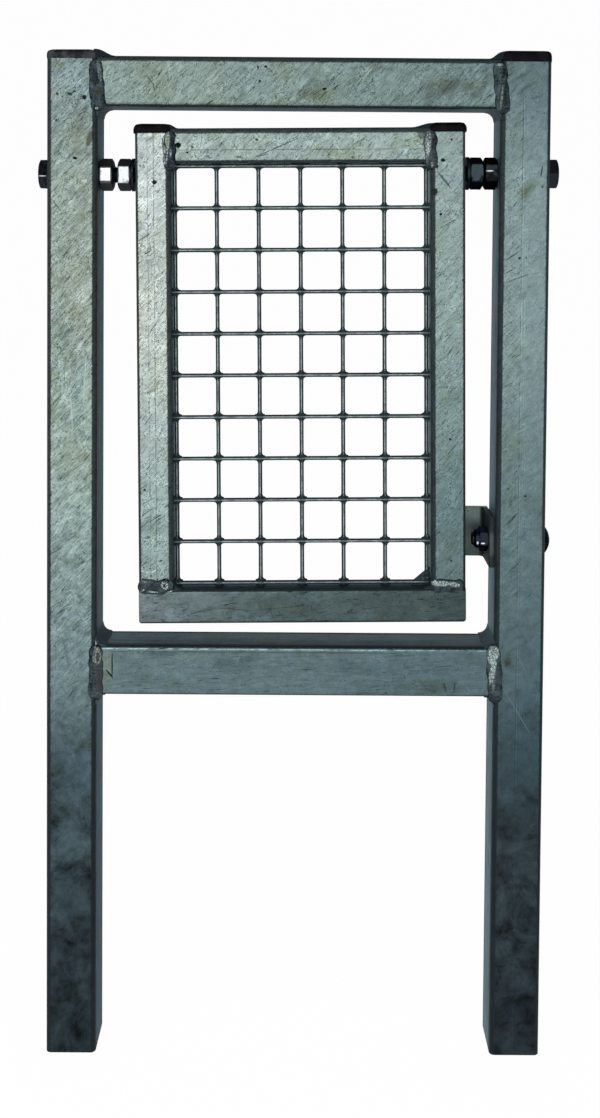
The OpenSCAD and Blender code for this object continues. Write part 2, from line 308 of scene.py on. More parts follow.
def galvanised(name, centre, half, along, tones, contrast, rims, turn=0.0, inner=1, side_shades=SIDE_SHADES, seams=(),
               glints=(), marks=(), smudges=(), blotched=None, calm=None, lay=STROKES, brushed=1.0,
               cracked=1.0, flowing=0.0, parted=None, seed=0.0):
    """Weathered zinc on a box tube that runs along an axis through centre, half its side each way.

    tones, and the rows for the side face towards the gate's opening, are (place along the tube in mm,
    red, green, blue) rows; that side face is at the upper end across if inner is 1, and it is dull and
    painted dark as shade. rims are the widths of the painted shade on the lower and upper rounded edge
    across it. seams are dark lines and glints painted highlight lines, both (offset, width, strength)
    in mm. blotched gives where blotches start and are full, and calm where strokes fade and are gone.
    marks and smudges are (x, z, half width, half height, lean, strength, colour) rows in mm and
    degrees; marks cover, and smudges are soft and tint. lay is the strokes' angle, and brushed,
    cracked and flowing are the strengths of broad strokes, thin cracks and long curved lines. parted is
    (offset, film) for a face that has another tint beyond the offset.
    """
    finish = Finish(name)
    x, y, z = finish.parts(finish.placed(tuple(centre), turn))
    across, run = (z, x) if along == "x" else (x, z)
    across_mm = across * 1000
    run_mm = run * 1000
    away = tuple(c + seed for c in centre)
    shifted = finish.placed(away, 0, (MM, MM, MM))
    face = (centre[0], centre[1] - half, centre[2])

    def streaks(lean, size, detail, rough, twist):
        """Clouds drawn out along the strokes' angle times lean, in steps of a size in mm."""
        steps = tuple(length * MM for length in size)
        return finish.clouds(finish.placed(away, lay * lean, steps), 1, detail, rough, twist)

    def along_tube(rows):
        start, end = rows[0][0], rows[-1][0]
        stops = [((place - start) / (end - start), colour) for place, *colour in rows]
        return finish.ramp((run_mm - start) / (end - start), stops)

    def line(offset, width, waver):
        """1 on a thin line along the tube."""
        return abs(across_mm - offset + mottle * waver).step(width, width * 0.3)

    # Tone over the whole tube, and what is scattered over it.
    mottle = finish.uneven(shifted, 0.16, 5, 0.62, 0.4)
    grit = finish.uneven(shifted, 0.9, 3, 0.65)
    patches = finish.clouds(shifted, 0.045, 3, 0.55, 0.5)
    stains = finish.clouds(shifted, 0.055, 4, 0.6, 0.8)
    specks = finish.cells(shifted, 0.36).step(0.17, 0.07) * patches.step(0.47, 0.56)
    spots = finish.cells(shifted, 0.06).step(0.062, 0.035)

    # What is drawn over it, by the brush and by wear.
    bands = streaks(1, (15, 9, 4.2), 3, 0.6, 1.2) * 2 - 1
    strokes = streaks(1.06, (12, 5, 0.85), 3, 0.6, 0.8) * 2 - 1
    creases = streaks(1.1, (9, 6, 4), 5, 0.7, 1.6) * 2 - 1
    hairs = streaks(0.86, (10, 4, 0.5), 3, 0.6, 0.9)
    pale_hairs = hairs.step(0.62, 0.72)
    dark_hairs = hairs.step(0.37, 0.30) * stains.step(0.36, 0.50)
    dark_lines = streaks(0.68, (14, 5, 0.7), 2, 0.5, 0.4).step(0.345, 0.305) * stains.step(0.44, 0.52)
    dark_scuffs = streaks(0.8, (8, 4, 0.75), 3, 0.7, 1.5).step(0.60, 0.66) * patches.step(0.40, 0.50)
    dark_gashes = streaks(1.15, (11, 5, 0.8), 3, 0.6, 1.4).step(0.615, 0.655) * mottle.step(0.12, -0.12)
    cracks = abs(creases).step(0.034, 0.006) * mottle.step(-0.10, 0.12)
    drawn = ((bands * 0.55 + strokes * 0.65) * brushed + pale_hairs * 0.35 - dark_hairs * 0.45
             - dark_scuffs * 0.5 - dark_gashes * 1.15 - dark_lines * 1.2 - cracks * 1.1 * cracked) * contrast
    if flowing:
        flows = streaks(1.3, (19, 9, 7), 1.5, 0.45, 1.0) * 2 - 1
        drawn = drawn - (abs(flows).step(0.045, 0.008) * 0.6 - flows * 0.9) * flowing
    if calm:
        drawn = drawn * (1 - run_mm.step(*calm) * 0.7)
    light = 1.065 + (mottle * 0.9 + grit * 0.35) * contrast
    if blotched:
        blots = finish.clouds(shifted, 0.055, 5, 0.68, 0.5)
        light = light - run_mm.step(*blotched) * ((blots - 0.5) * 4.4 + grit * 0.35)

    front = finish.tinted(along_tube(tones), stains.step(0.5, 0.68) * contrast, OLIVE)
    front = finish.tinted(front, patches.step(0.50, 0.62), COOL)
    if parted:
        offset, film = parted
        beyond = across_mm.step(offset - 0.2, offset + 0.2)
        drawn = drawn * (1 - beyond * 0.5)
        front = finish.tinted(front, beyond, film)
    front = finish.shade(front, (light + drawn).over(0.12))
    for offset, width, glow in glints:
        broken = finish.clouds(shifted, 0.16, 3).step(0.3, 0.6)
        front = finish.shade(front, 1 + line(offset, width, 0.25) * broken * glow)
    mark_rim = mottle * 0.5 + grit * 0.3
    for *patch, strength, colour in marks:
        front = finish.blend(finish.patch(face, patch, mark_rim) * strength, front, colour)
    smudge_rim = mottle * 0.6 + grit * 0.2
    for *patch, strength, film in smudges:
        front = finish.tinted(front, finish.patch(face, patch, smudge_rim, soft=True) * strength, film)

    # Grime in specks and seams, and painted shade along the tube's rounded edges.
    grime_and_edge_shade = (specks * 0.75).over(spots * 0.85)
    for offset, width, depth in seams:
        broken = finish.clouds(shifted, 0.11, 2).step(0.36, 0.5)
        grime_and_edge_shade = grime_and_edge_shade.over(line(offset, width, 0.12) * broken * depth)
    ragged = (grit * 0.45 + mottle * 0.35) * MM
    low_rim = (across + half + ragged).step(rims[0] * 1.05, rims[0] * 0.75)
    high_rim = (half - across + ragged).step(rims[1] * 1.05, rims[1] * 0.75)
    edge_shade = low_rim.over(high_rim) * (abs(y) / half).step(0.6, 0.72)
    grime_and_edge_shade = grime_and_edge_shade.over(edge_shade * (0.90 + mottle * 0.15))

    # The side face towards the opening is painted dark as shade, lighter towards its back, with a patina in
    # lanes along the tube.
    side = (across * inner).step(half - 0.35 * MM, half - 0.1 * MM)
    lane = (90 * MM, 1.6 * MM, 3 * MM) if along == "x" else (3 * MM, 1.6 * MM, 90 * MM)
    lanes = finish.uneven(finish.placed(away, 0, lane), 1, 3, 0.6, 0.3)
    shading = 1.0 + mottle * 0.7 + lanes * 0.9 + (patches - 0.5) * 1.2 + (y / half).step(-0.6, 0.5) * 0.45
    shaded_patina = finish.shade(along_tube(side_shades), shading.over(0.2))
    shaded_patina = finish.tinted(shaded_patina, stains.step(0.45, 0.62) * 0.8, WARM)

    relief = strokes * 0.4 + bands * 0.5 + mottle * 0.5 - specks - spots - cracks * 0.6
    finish.set(Specular_IOR_Level=0.25, Specular_Tint=ZINC_GLOSS)
    return finish.set(Base_Color=finish.blend(grime_and_edge_shade, finish.blend(side, front, shaded_patina), GRIME_AND_SHADE),
                      Roughness=0.40 + mottle * 0.10 - bands * 0.05 + grime_and_edge_shade.over(side * 0.8) * 0.3,
                      Metallic=(0.8 - grime_and_edge_shade * 0.6).under(1 - side * 0.2),
                      Normal=finish.bump(relief, 0.22 * MM, 0.45))


def wire_zinc(name):
    """The zinc on the mesh: a painted highlight along the crest of each wire, and painted shade on its flanks
    and in the webs.
    """
    finish = Finish(name)
    low, high = upright_box("mesh_panel")
    crossing = Vector(((low.x + high.x) / 2, 0, high.z - PANEL_RIM - WIRE_RADIUS))
    x, _, z = finish.parts(finish.placed(tuple(HUNG @ crossing), -tilt))
    from_upright, from_cross = (
        finish.node("ShaderNodeMath", {"operation": "PINGPONG"}, {0: abs(way), 1: WIRE_PITCH / 2})
        for way in (x, z))
    # Painted highlight on each wire's crest, left out where the wires meet.
    cross_crest = from_cross.step(0.50 * MM, 0.22 * MM) * (0.5 + from_upright.step(1.0 * MM, 3.0 * MM) * 0.5)
    upright_crest = from_upright.step(0.44 * MM, 0.18 * MM) * from_cross.step(1.9 * MM, 2.8 * MM)
    runs = finish.clouds(finish.spot, 260, 3, 0.6)
    crest = (cross_crest * 0.72).over(upright_crest * 0.75) * (0.55 + runs.step(0.3, 0.62) * 0.45)
    finish.set(Specular_IOR_Level=0.1)
    return finish.set(Base_Color=finish.blend(crest, (0.022, 0.034, 0.038), (0.46, 0.54, 0.54)),
                      Roughness=0.7 - crest * 0.3, Metallic=crest * 0.8,
                      Normal=finish.bump(runs, 0.15 * MM, 0.5))


def weld_zinc(name, front, middle, marks=(), tint=WELD, behind=BEHIND):
    """Weld metal under zinc: dark ripples, painted shade at its toes, with another colour behind the front.

    marks are rows as on the tubes, counted from the middle; the pale ones are flaky, and some light ones are
    painted highlights.
    """
    finish = Finish(name)
    y = finish.parts(finish.spot)[1]
    toe = finish.node("ShaderNodeAttribute", {"attribute_name": "toe"}, output="Fac")
    lumps = finish.uneven(finish.spot, 190, 4, 0.6, 0.5)
    grit = finish.uneven(finish.spot, 900, 3, 0.65)
    flake = (1.5 * MM, 1.6 * MM, 2.1 * MM)
    flakes = finish.cells(finish.placed((0, 0, 0), 0.3, flake), 1, "DISTANCE_TO_EDGE")
    flaky = (flakes.step(0.03, 0.13) * (0.8 + grit * 1.2)).over(0.12)
    colour = finish.shade(tint, (1 + lumps * 2.4 + grit * 1.3).over(0.25))
    face = (middle[0], front - 0.6 * MM, middle[2])
    ragged = lumps * 0.7 + grit * 0.35
    shine = 0
    for *patch, strength, mark_colour in marks:
        mask = finish.patch(face, patch, ragged) * strength
        if max(mark_colour) > 0.12:
            mask = mask * flaky
        colour = finish.blend(mask, colour, mark_colour)
        shine = mask.over(shine)
    deep = y.step(front + 1.2 * MM, front + 3.0 * MM)
    colour = finish.blend(deep, colour, finish.shade(behind, 1 + lumps * 0.8))
    # Painted shade at the toes, less of it under the marks.
    grime_and_shade = toe.step(0.45, 0.9) * (1 - shine * 0.6)
    dull = grime_and_shade.over(deep)
    finish.set(Specular_IOR_Level=0.2, Specular_Tint=WELD_GLOSS)
    return finish.set(Base_Color=finish.blend(grime_and_shade * 0.95, colour, GRIME_AND_SHADE),
                      Roughness=0.42 + lumps * 0.15 + dull * 0.3, Metallic=0.85 - dull * 0.5,
                      Normal=finish.bump(lumps * 0.6 + grit * 0.35 + flaky * shine, 0.3 * MM, 0.7))


def plated(name, tint, rough=0.3, middle=None, bright=None, glints=()):
    """Zinc plate on a fixing, dirty in patches, and painted dark as shade beyond the bright half sizes along
    X and Z from its middle.

    glints are (place, (wide, tall)) painted highlights.
    """
    finish = Finish(name)
    x, _, z = finish.parts(finish.spot)
    bloom = finish.clouds(finish.spot, 420, 3, 0.6)
    waver = bloom - 0.5
    grime_and_shade = finish.clouds(finish.spot, 150, 3, 0.6).step(0.5, 0.64) * 0.75
    # Painted shade on the faces beyond the bright middle.
    if middle:
        for way, centre, half in ((x, middle.x, bright[0]), (z, middle.z, bright[1])):
            grime_and_shade = grime_and_shade.over(abs(way - centre + waver * MM).step(half, half * 1.25) * 0.94)
    colour = finish.blend(grime_and_shade, tint, tuple(c * 0.035 for c in tint))
    for place, size in glints:
        colour = finish.blend(finish.around(place, size, 0, waver * 0.5), colour, (0.65, 0.69, 0.72))
    finish.set(Specular_IOR_Level=0.1, Specular_Tint=PLATE_GLOSS)
    return finish.set(Base_Color=colour, Roughness=rough + bloom * 0.15 + grime_and_shade * 0.2, Metallic=0.9,
                      Normal=finish.bump(bloom, 0.08 * MM, 0.4))


def plastic(name, gloss, dust_and_sheen_tint):
    """Black moulded plastic with a fine grain, and grey patches on it, partly dust and partly painted sheen.
    """
    finish = Finish(name)
    grain = finish.clouds(finish.spot, 2600, 2, 0.6)
    dust_and_sheen = finish.clouds(finish.spot, 130, 3, 0.6).step(0.44, 0.62)
    finish.set(Specular_IOR_Level=gloss)
    return finish.set(Base_Color=finish.blend(dust_and_sheen, (0.0025, 0.0025, 0.0035), dust_and_sheen_tint),
                      Roughness=0.5 + dust_and_sheen * 0.2, Metallic=0.0, Normal=finish.bump(grain, 0.05 * MM, 0.5))


def bracket_zinc(name):
    """Dull zinc on the stop: its plate is grey, the leg on the post brown and painted dark as shade, and its
    front edge darker, paler over the middle of its height.
    """
    finish = Finish(name)
    low, high = box("stop_bracket")
    _, y, z = finish.parts(finish.spot)
    mottle = finish.uneven(finish.spot, 150, 4, 0.6)
    height = (z - low.z) / (high.z - low.z)
    colour = finish.ramp(height, [(0, (0.100, 0.134, 0.125)), (1, (0.145, 0.187, 0.170))])
    # Painted shade on the leg on the post.
    leg = y.step(high.y - BRACKET_THICK - 0.3 * MM, high.y - BRACKET_THICK - 1.2 * MM)
    colour = finish.blend(leg * 0.94, colour, (0.014, 0.019, 0.020))
    front_edge = y.step(low.y + 1.2 * MM, low.y + 0.3 * MM)
    colour = finish.blend(front_edge * 0.8, colour, (0.030, 0.042, 0.046))
    pale_middle = abs(z - (low.z + high.z) / 2 + 1.5 * MM).step(9 * MM, 5 * MM)
    colour = finish.blend(front_edge * pale_middle * 0.8, colour, (0.12, 0.13, 0.125))
    dull = leg * 0.8
    finish.set(Specular_IOR_Level=0.2, Specular_Tint=WELD_GLOSS)
    return finish.set(Base_Color=finish.shade(colour, 1 + mottle * 0.5), Roughness=0.45 + dull * 0.3,
                      Metallic=0.75 - dull * 0.7, Normal=finish.bump(mottle, 0.15 * MM, 0.5))


# ---------------------------------------------------------------- making pieces

def finish_piece(bm, name, body, finish, node=None, hang=False, sharp=38):
    """Turns a bmesh into a piece that rides on a body, and stands for a node where one is named."""
    if hang:
        bmesh.ops.transform(bm, matrix=HUNG, verts=bm.verts)
    bmesh.ops.remove_doubles(bm, verts=bm.verts, dist=0.002 * MM)
    bmesh.ops.recalc_face_normals(bm, faces=bm.faces)
    mesh = bpy.data.meshes.new(name)
    bm.to_mesh(mesh)
    bm.free()
    piece = bpy.data.objects.new(name, mesh)
    bpy.context.scene.collection.objects.link(piece)
    mesh.shade_smooth()
    mesh.set_sharp_from_angle(angle=math.radians(sharp))
    mesh.materials.append(finish)
    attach(piece, body)
    if node:
        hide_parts(node)


def add_part(bm, part, place=None):
    """Adds a part to a bmesh. Parts are made on their own, which is quicker in a large bmesh."""
    if place is not None:
        bmesh.ops.transform(part, matrix=place, verts=part.verts)
    carrier = bpy.data.meshes.new("carrier")
    part.to_mesh(carrier)
    part.free()
    bm.from_mesh(carrier)
    bpy.data.meshes.remove(carrier)


def ring_edges(ring):
    """The edges that join a ring's points."""
    return [next(edge for edge in a.link_edges if edge.other_vert(a) is b)
            for a, b in zip(ring, ring[1:] + ring[:1])]


def skin(bm, loops, ends="capped", toes=None):
    """Skins loops of as many points each. Its ends are capped, or joined to each other.

    toes says how near each point of a loop is to a weld's toe, from 0 to 1.
    """
    part = bmesh.new()
    layer = part.verts.layers.float.new("toe") if toes else None
    rings = []
    for row, points in enumerate(loops):
        ring = bmesh.ops.create_circle(part, segments=len(points), radius=1)["verts"]
        for index, (vert, point) in enumerate(zip(ring, points)):
            vert.co = point
            if toes:
                vert[layer] = toes[row][index]
        rings.append(ring)
    pairs = list(zip(rings, rings[1:]))
    if ends == "joined":
        pairs.append((rings[-1], rings[0]))
    for low, high in pairs:
        bmesh.ops.bridge_loops(part, edges=ring_edges(low) + ring_edges(high))
    if ends == "capped":
        for ring in (rings[0], rings[-1]):
            bmesh.ops.contextual_create(part, geom=ring_edges(ring))
    add_part(bm, part)


def spun(bm, profile, place, segments=32):
    """Turns a profile of (radius, height) points about the Z axis, and places it."""
    part = bmesh.new()
    verts = [bmesh.ops.create_vert(part, co=(radius, 0, height))["vert"][0] for radius, height in profile]
    edges = [part.edges.new(pair) for pair in zip(verts, verts[1:])]
    bmesh.ops.spin(part, geom=verts + edges, cent=(0, 0, 0), axis=UP, dvec=(0, 0, 0), angle=2 * math.pi,
                   steps=segments, use_merge=True, use_normal_flip=False, use_duplicate=False)
    bmesh.ops.remove_doubles(part, verts=part.verts, dist=0.001 * MM)
    add_part(bm, part, place)


def bevel(bm, edges, offset, segments):
    """Rounds edges over."""
    bmesh.ops.bevel(bm, geom=edges, offset=offset, offset_type="OFFSET", segments=segments, profile=0.5,
                    affect="EDGES", material=-1)


HEX_POINTS = 48


def circle_points(radius, height, shape=None):
    """Points round the Z axis; shape gives the factor on the radius at each angle."""
    points = []
    for index in range(HEX_POINTS):
        angle = 2 * math.pi * index / HEX_POINTS
        reach = radius * (shape(angle) if shape else 1)
        points.append(Vector((reach * math.cos(angle), reach * math.sin(angle), height)))
    return points


def hexagon(angle):
    """Distance out to a hexagon whose flats are at distance 1; its corners are at 30 degrees and so on."""
    return 1 / math.cos((angle + math.pi / 6) % (math.pi / 3) - math.pi / 6)


def square_points(half, corner, height, per_corner=6):
    """Points round a square with round corners, level at a height."""
    points = []
    for quarter in range(4):
        middle = math.pi / 2 * (quarter + 0.5)
        x = math.copysign(half - corner, math.cos(middle))
        y = math.copysign(half - corner, math.sin(middle))
        for index in range(per_corner):
            angle = math.pi / 2 * (quarter + index / (per_corner - 1))
            points.append(Vector((x + corner * math.cos(angle), y + corner * math.sin(angle), height)))
    return points


BEAD_STEP = 0.42 * MM
BEAD_POINTS = 22
RIPPLE_PITCH = 2.1 * MM
RIPPLE_BOW = 1.1 * MM  # how far a ripple's sides lag behind its middle


def bead(bm, start, end, outward, width, height, sink=1 * MM, ripple=0.16 * MM, seed=0, wander=0.25,
         lumpy=0.2):
    """A weld bead from start to end on a face that looks outward, with ripples and round ends.

    wander is how far it strays in mm, and lumpy the share by which its height and width vary. The
    noise's first number is its pace along the bead, and the seed tells one bead from another.
    """
    along = (end - start).normalized()
    across = along.cross(outward)
    length = (end - start).length
    steps = max(12, round(length / BEAD_STEP))
    loops = []
    toes = []
    for index in range(steps + 1):
        way = length * (0.5 - 0.5 * math.cos(math.pi * index / steps))
        from_end = min(way, length - way) / (width * 0.5)
        fullness = math.sqrt(max(0.0, 1 - max(0.0, 1 - from_end) ** 2)) * 0.985 + 0.015
        shift = noise.noise(Vector((way * 160, seed * 7.3, 1.7))) * wander * MM
        swell = 1 + 0.6 * lumpy * noise.noise(Vector((way * 210, seed * 4.7, 6.1)))
        points = []
        marks = []
        for turn in range(BEAD_POINTS):
            angle = 2 * math.pi * turn / BEAD_POINTS
            sideways = math.cos(angle)
            upward = math.sin(angle)
            crescent = way + RIPPLE_BOW * sideways * sideways
            wave = math.sin(2 * math.pi * crescent / RIPPLE_PITCH)
            lump = noise.noise(Vector((way * 330, sideways * 2, seed * 3.1)))
            if upward > 0:
                rise = upward ** 0.8 * (height * (1 + lumpy * lump) + ripple * wave) * fullness ** 0.8
            else:
                rise = upward * sink
            spread = sideways * width / 2 * fullness * swell
            points.append(start + along * way + across * (spread + shift) + outward * rise)
            marks.append(max(0.0, 1 - max(0.0, upward) * 1.9) if fullness > 0.5 else 1.0)
        loops.append(points)
        toes.append(marks)
    skin(bm, loops, toes=toes)


def hollow(share):
    """A quarter circle's hollow between two faces: how far along each of them at a share of the way."""
    return 1 - math.sin(math.pi / 2 * share), 1 - math.cos(math.pi / 2 * share)


def slope(share):
    """A slope that is round at its top and hollow at its foot."""
    return 1 - share, 0.5 - 0.5 * math.cos(math.pi * share)


def flat(share):
    """A flat face across the corner between two faces."""
    return 1 - share, share


FILL_STEPS = 14
FILL_POINTS = 11
FILL_SUNK = 0.6 * MM
FILL_END = 0.85  # share of its legs that is left at either end
FILL_TAPER = 0.15  # share of its length over which the ends narrow


def corner_fill(bm, corner, first, second, start, end, legs, seed=0, uneven=0.15, grime_and_shade=0.0, curve=hollow):
    """Metal in the corner between two faces, from start to end along Y; curve gives its outline.

    legs are its lengths along the first and second direction.
    """
    loops = []
    for index in range(FILL_STEPS + 1):
        share = index / FILL_STEPS
        way = start + (end - start) * share
        from_end = min(share, 1 - share, FILL_TAPER) / FILL_TAPER
        size = FILL_END + (1 - FILL_END) * from_end
        size *= 1 + uneven * noise.noise(Vector((way * 220, seed * 5.1, 0.3)))
        corner_at = Vector((corner.x, way, corner.z))
        out = first * legs[0] * size
        up = second * legs[1] * size
        points = [corner_at - (first + second) * FILL_SUNK, corner_at + out - second * FILL_SUNK]
        for turn in range(FILL_POINTS):
            out_share, up_share = curve(turn / (FILL_POINTS - 1))
            points.append(corner_at + out * out_share + up * up_share)
        points.append(corner_at + up - first * FILL_SUNK)
        loops.append(points)
    skin(bm, loops, toes=[[grime_and_shade] * len(loops[0])] * len(loops))


def blob(bm, centre, outward, width, height, seed=0, longer=1.0):
    """A round drop of weld metal on a face."""
    part = bmesh.new()
    made = bmesh.ops.create_uvsphere(part, u_segments=14, v_segments=9, radius=1)
    side = outward.cross(UP).normalized()
    for vert in made["verts"]:
        x, y, z = vert.co
        uneven = 1 + 0.12 * noise.noise(Vector((x * 1.5, y * 1.5, z * 1.5 + seed * 3)))
        vert.co = (centre + side * x * width / 2 * uneven + UP * y * width / 2 * longer * uneven
                   + outward * z * height * uneven)
    add_part(bm, part)


def crater(bm, centre, outward, radius, thick):
    """A ring of weld metal round a shallow hollow."""
    ring = [(radius + thick * math.cos(math.pi * turn / 5), thick * math.sin(math.pi * turn / 5))
            for turn in range(10)]
    place = Matrix.Translation(centre) @ outward.to_track_quat("Z", "Y").to_matrix().to_4x4()
    spun(bm, ring + ring[:1], place, 20)
    blob(bm, centre, outward, radius * 2, thick * 0.6)


# ---------------------------------------------------------------- fixings

def along_bolt(node):
    """Places what stands along Z at a fixing's outer end, pointing towards the flap."""
    low, high = box(node)
    middle = (low + high) / 2
    side = 1 if middle.x > pivot.x else -1
    middle.x = high.x if side > 0 else low.x
    return Matrix.Translation(middle) @ Matrix.Rotation(-side * math.pi / 2, 4, "Y")


def hex_loops(flats, height, low_chamfer, high_chamfer):
    """Loops up a hexagonal prism, with the corners of either end turned to a cone."""
    crown = flats / 2 * 0.95
    cone = math.tan(math.radians(28))
    hexed = circle_points(flats / 2, 0, hexagon)
    drops = [(point.length - crown) * cone for point in hexed]
    loops = [[point + UP * drop * low_chamfer for point, drop in zip(hexed, drops)],
             [point + UP * (height - drop * high_chamfer) for point, drop in zip(hexed, drops)]]
    if low_chamfer:
        loops.insert(0, circle_points(crown, 0))
    if high_chamfer:
        loops.append(circle_points(crown, height))
    return loops


def hex_skin(node, loops, turn=None, ends="capped"):
    """A new bmesh of hexagonal loops placed at a fixing, its flats turned from upright in degrees."""
    place = along_bolt(node)
    if turn is not None:
        place = place @ Matrix.Rotation(math.radians(turn - 30), 4, "Z")
    bm = bmesh.new()
    skin(bm, [[place @ point for point in points] for points in loops], ends)
    return bm


def thread_profile(radius, start, end, pitch):
    """Profile of a threaded rod, from its start on the axis to its chamfered end."""
    root = radius - 0.5 * pitch
    profile = [(0, start), (radius, start)]
    height = start + pitch * 0.2
    while height < end - 1.6 * pitch:
        profile += [(radius, height), (root, height + 0.42 * pitch), (root, height + 0.52 * pitch),
                    (radius, height + 0.94 * pitch)]
        height += pitch
    profile += [(radius, end - 0.7 * pitch), (root, end), (0, end)]
    return profile


def pivot_bolt(node, finish):
    """A hexagon bolt with its head outside the post."""
    low, high = box(node)
    bm = hex_skin(node, hex_loops(HEX_FLATS, HEAD_HEIGHT, 1, 0))
    spun(bm, thread_profile(BOLT_RADIUS, HEAD_HEIGHT, high.x - low.x, BOLT_PITCH), along_bolt(node))
    finish_piece(bm, node + "_turned", FRAME, finish, node)


def pivot_nut(node, turn, finish):
    """A nut chamfered at both ends, as far turned on its bolt as turn says."""
    low, high = box(node)
    thickness = high.x - low.x
    mouth = BOLT_RADIUS * 1.1
    bevelled = 0.5 * MM
    bore = [(mouth, thickness), (BOLT_RADIUS, thickness - bevelled), (BOLT_RADIUS, bevelled), (mouth, 0)]
    loops = hex_loops(HEX_FLATS, thickness, 1, 1) + [circle_points(*ring) for ring in bore]
    bm = hex_skin(node, loops, turn, "joined")
    finish_piece(bm, node + "_turned", FRAME, finish, node, sharp=30)


def pivot_washer(node, finish):
    """A washer with softened rims."""
    low, high = box(node)
    thickness = high.x - low.x
    radius = (high.z - low.z) / 2
    soft = 0.3 * MM
    profile = [(BOLT_RADIUS, 0), (radius - soft, 0), (radius, soft), (radius, thickness - soft),
               (radius - soft, thickness), (BOLT_RADIUS, thickness), (BOLT_RADIUS, 0)]
    bm = bmesh.new()
    spun(bm, profile, along_bolt(node), 48)
    finish_piece(bm, node + "_turned", FRAME, finish, node)


BLACK_TINT = (0.022, 0.025, 0.032)
black_plate = plated("black_plate", BLACK_TINT)
# The pale line across the left bolt's head is a painted highlight.
low, high = box("left_pivot_bolt")
pale_middle = (low.x + 2.6 * MM, low.y, (low.z + high.z) / 2 - 1.3 * MM)
highlighted_plate = plated("left_bolt_plate", BLACK_TINT, glints=[(pale_middle, (2.4 * MM, 0.32 * MM))])
pivot_bolt("left_pivot_bolt", highlighted_plate)
pivot_bolt("right_pivot_bolt", black_plate)
# The left nuts' pale tints are partly a painted reflection in their front flats.
for nut, turn, tint, bright in (
        ("left_clamp_nut", 3, (0.80, 0.83, 0.84), (2.6 * MM, 3.3 * MM)),
        ("left_spacer_nut", 2, (0.58, 0.61, 0.62), (2.6 * MM, 4.4 * MM)),
        ("right_clamp_nut", 2, (0.026, 0.030, 0.034), (3.2 * MM, 4.4 * MM)),
        ("right_spacer_nut", 3, (0.038, 0.055, 0.064), (3.2 * MM, 4.6 * MM))):
    low, high = box(nut)
    middle = (low + high) / 2
    glints = []
    # A painted highlight along the right clamp nut's middle.
    if nut == "right_clamp_nut":
        glints = [((middle.x - 1.3 * MM, low.y, middle.z + 1.3 * MM), (2.3 * MM, 0.34 * MM))]
    plate = plated(nut + "_plate", tint, rough=0.25, middle=middle, bright=bright, glints=glints)
    pivot_nut(nut, turn, plate)
for washer in ("left_spacer_washer", "right_spacer_washer"):
    pivot_washer(washer, black_plate)


# ---------------------------------------------------------------- stop

def stop_bracket(finish):
    """A bent angle with rounded toes and a fillet in its inner corner."""
    low, high = box("stop_bracket")
    inner = (high.x - BRACKET_THICK, high.y - BRACKET_THICK)
    outline = [(high.x, low.y), (high.x, high.y), (low.x, high.y), (low.x, inner[1]), inner,
               (inner[0], low.y)]
    bm = bmesh.new()
    verts = [bmesh.ops.create_vert(bm, co=(x, y, low.z))["vert"][0] for x, y in outline]
    edges = [bm.edges.new(pair) for pair in zip(verts, verts[1:] + verts[:1])]
    face = bmesh.ops.contextual_create(bm, geom=edges)["faces"][0]
    made = bmesh.ops.extrude_face_region(bm, geom=[face])
    bmesh.ops.translate(bm, vec=UP * (high.z - low.z),
                        verts=[g for g in made["geom"] if isinstance(g, bmesh.types.BMVert)])
    uprights = [e for e in bm.edges if abs(e.verts[0].co.z - e.verts[1].co.z) > BRACKET_THICK]

    def upright_at(*places):
        return [e for e in uprights if e.is_valid and any(
            (e.verts[0].co.xy - Vector(place)).length < 0.1 * MM for place in places)]

    toes = upright_at((low.x, inner[1]), (inner[0], low.y))
    bevel(bm, upright_at(inner), 3 * MM, 6)
    bevel(bm, [e for e in toes if e.is_valid], 1.8 * MM, 4)
    sharp = [e for e in bm.edges if len(e.link_faces) == 2 and e.calc_face_angle(0) > math.radians(50)]
    bevel(bm, sharp, 0.35 * MM, 2)
    finish_piece(bm, "stop_bracket_bent", FRAME, finish, "stop_bracket")


def stop_bolt(finish):
    """The cup-head bolt through the right post."""
    low, high = box("stop_bolt")
    cup_radius = (high.z - low.z) / 2
    ball = (cup_radius ** 2 + CUP_HEIGHT ** 2) / (2 * CUP_HEIGHT)
    widest = math.asin(cup_radius / ball)
    angles = [widest * index / 10 for index in range(11)]
    cup = [(ball * math.sin(angle), ball - ball * math.cos(angle)) for angle in angles]
    shank = thread_profile(STOP_RADIUS, CUP_HEIGHT, high.x - low.x, STOP_PITCH)[1:]
    bm = bmesh.new()
    spun(bm, cup + shank, along_bolt("stop_bolt"), 40)
    finish_piece(bm, "stop_bolt_turned", FRAME, finish, "stop_bolt")


def stop_nut(finish):
    """The lock nut, whose round collar narrows towards the flap."""
    low, high = box("stop_nut")
    thickness = high.x - low.x
    collar = [(5.9 * MM, STOP_HEX_HEIGHT), (5.8 * MM, STOP_HEX_HEIGHT + 1.2 * MM),
              (5.4 * MM, STOP_HEX_HEIGHT + 2.1 * MM), (4.8 * MM, thickness), (STOP_RADIUS, thickness),
              (STOP_RADIUS, 0)]
    loops = hex_loops(STOP_FLATS, STOP_HEX_HEIGHT, 1, 1) + [circle_points(*ring) for ring in collar]
    bm = hex_skin("stop_nut", loops, 12, "joined")
    finish_piece(bm, "stop_nut_turned", FRAME, finish, "stop_nut", sharp=30)


stop_bracket(bracket_zinc("bracket_zinc"))
stop_bolt(black_plate)
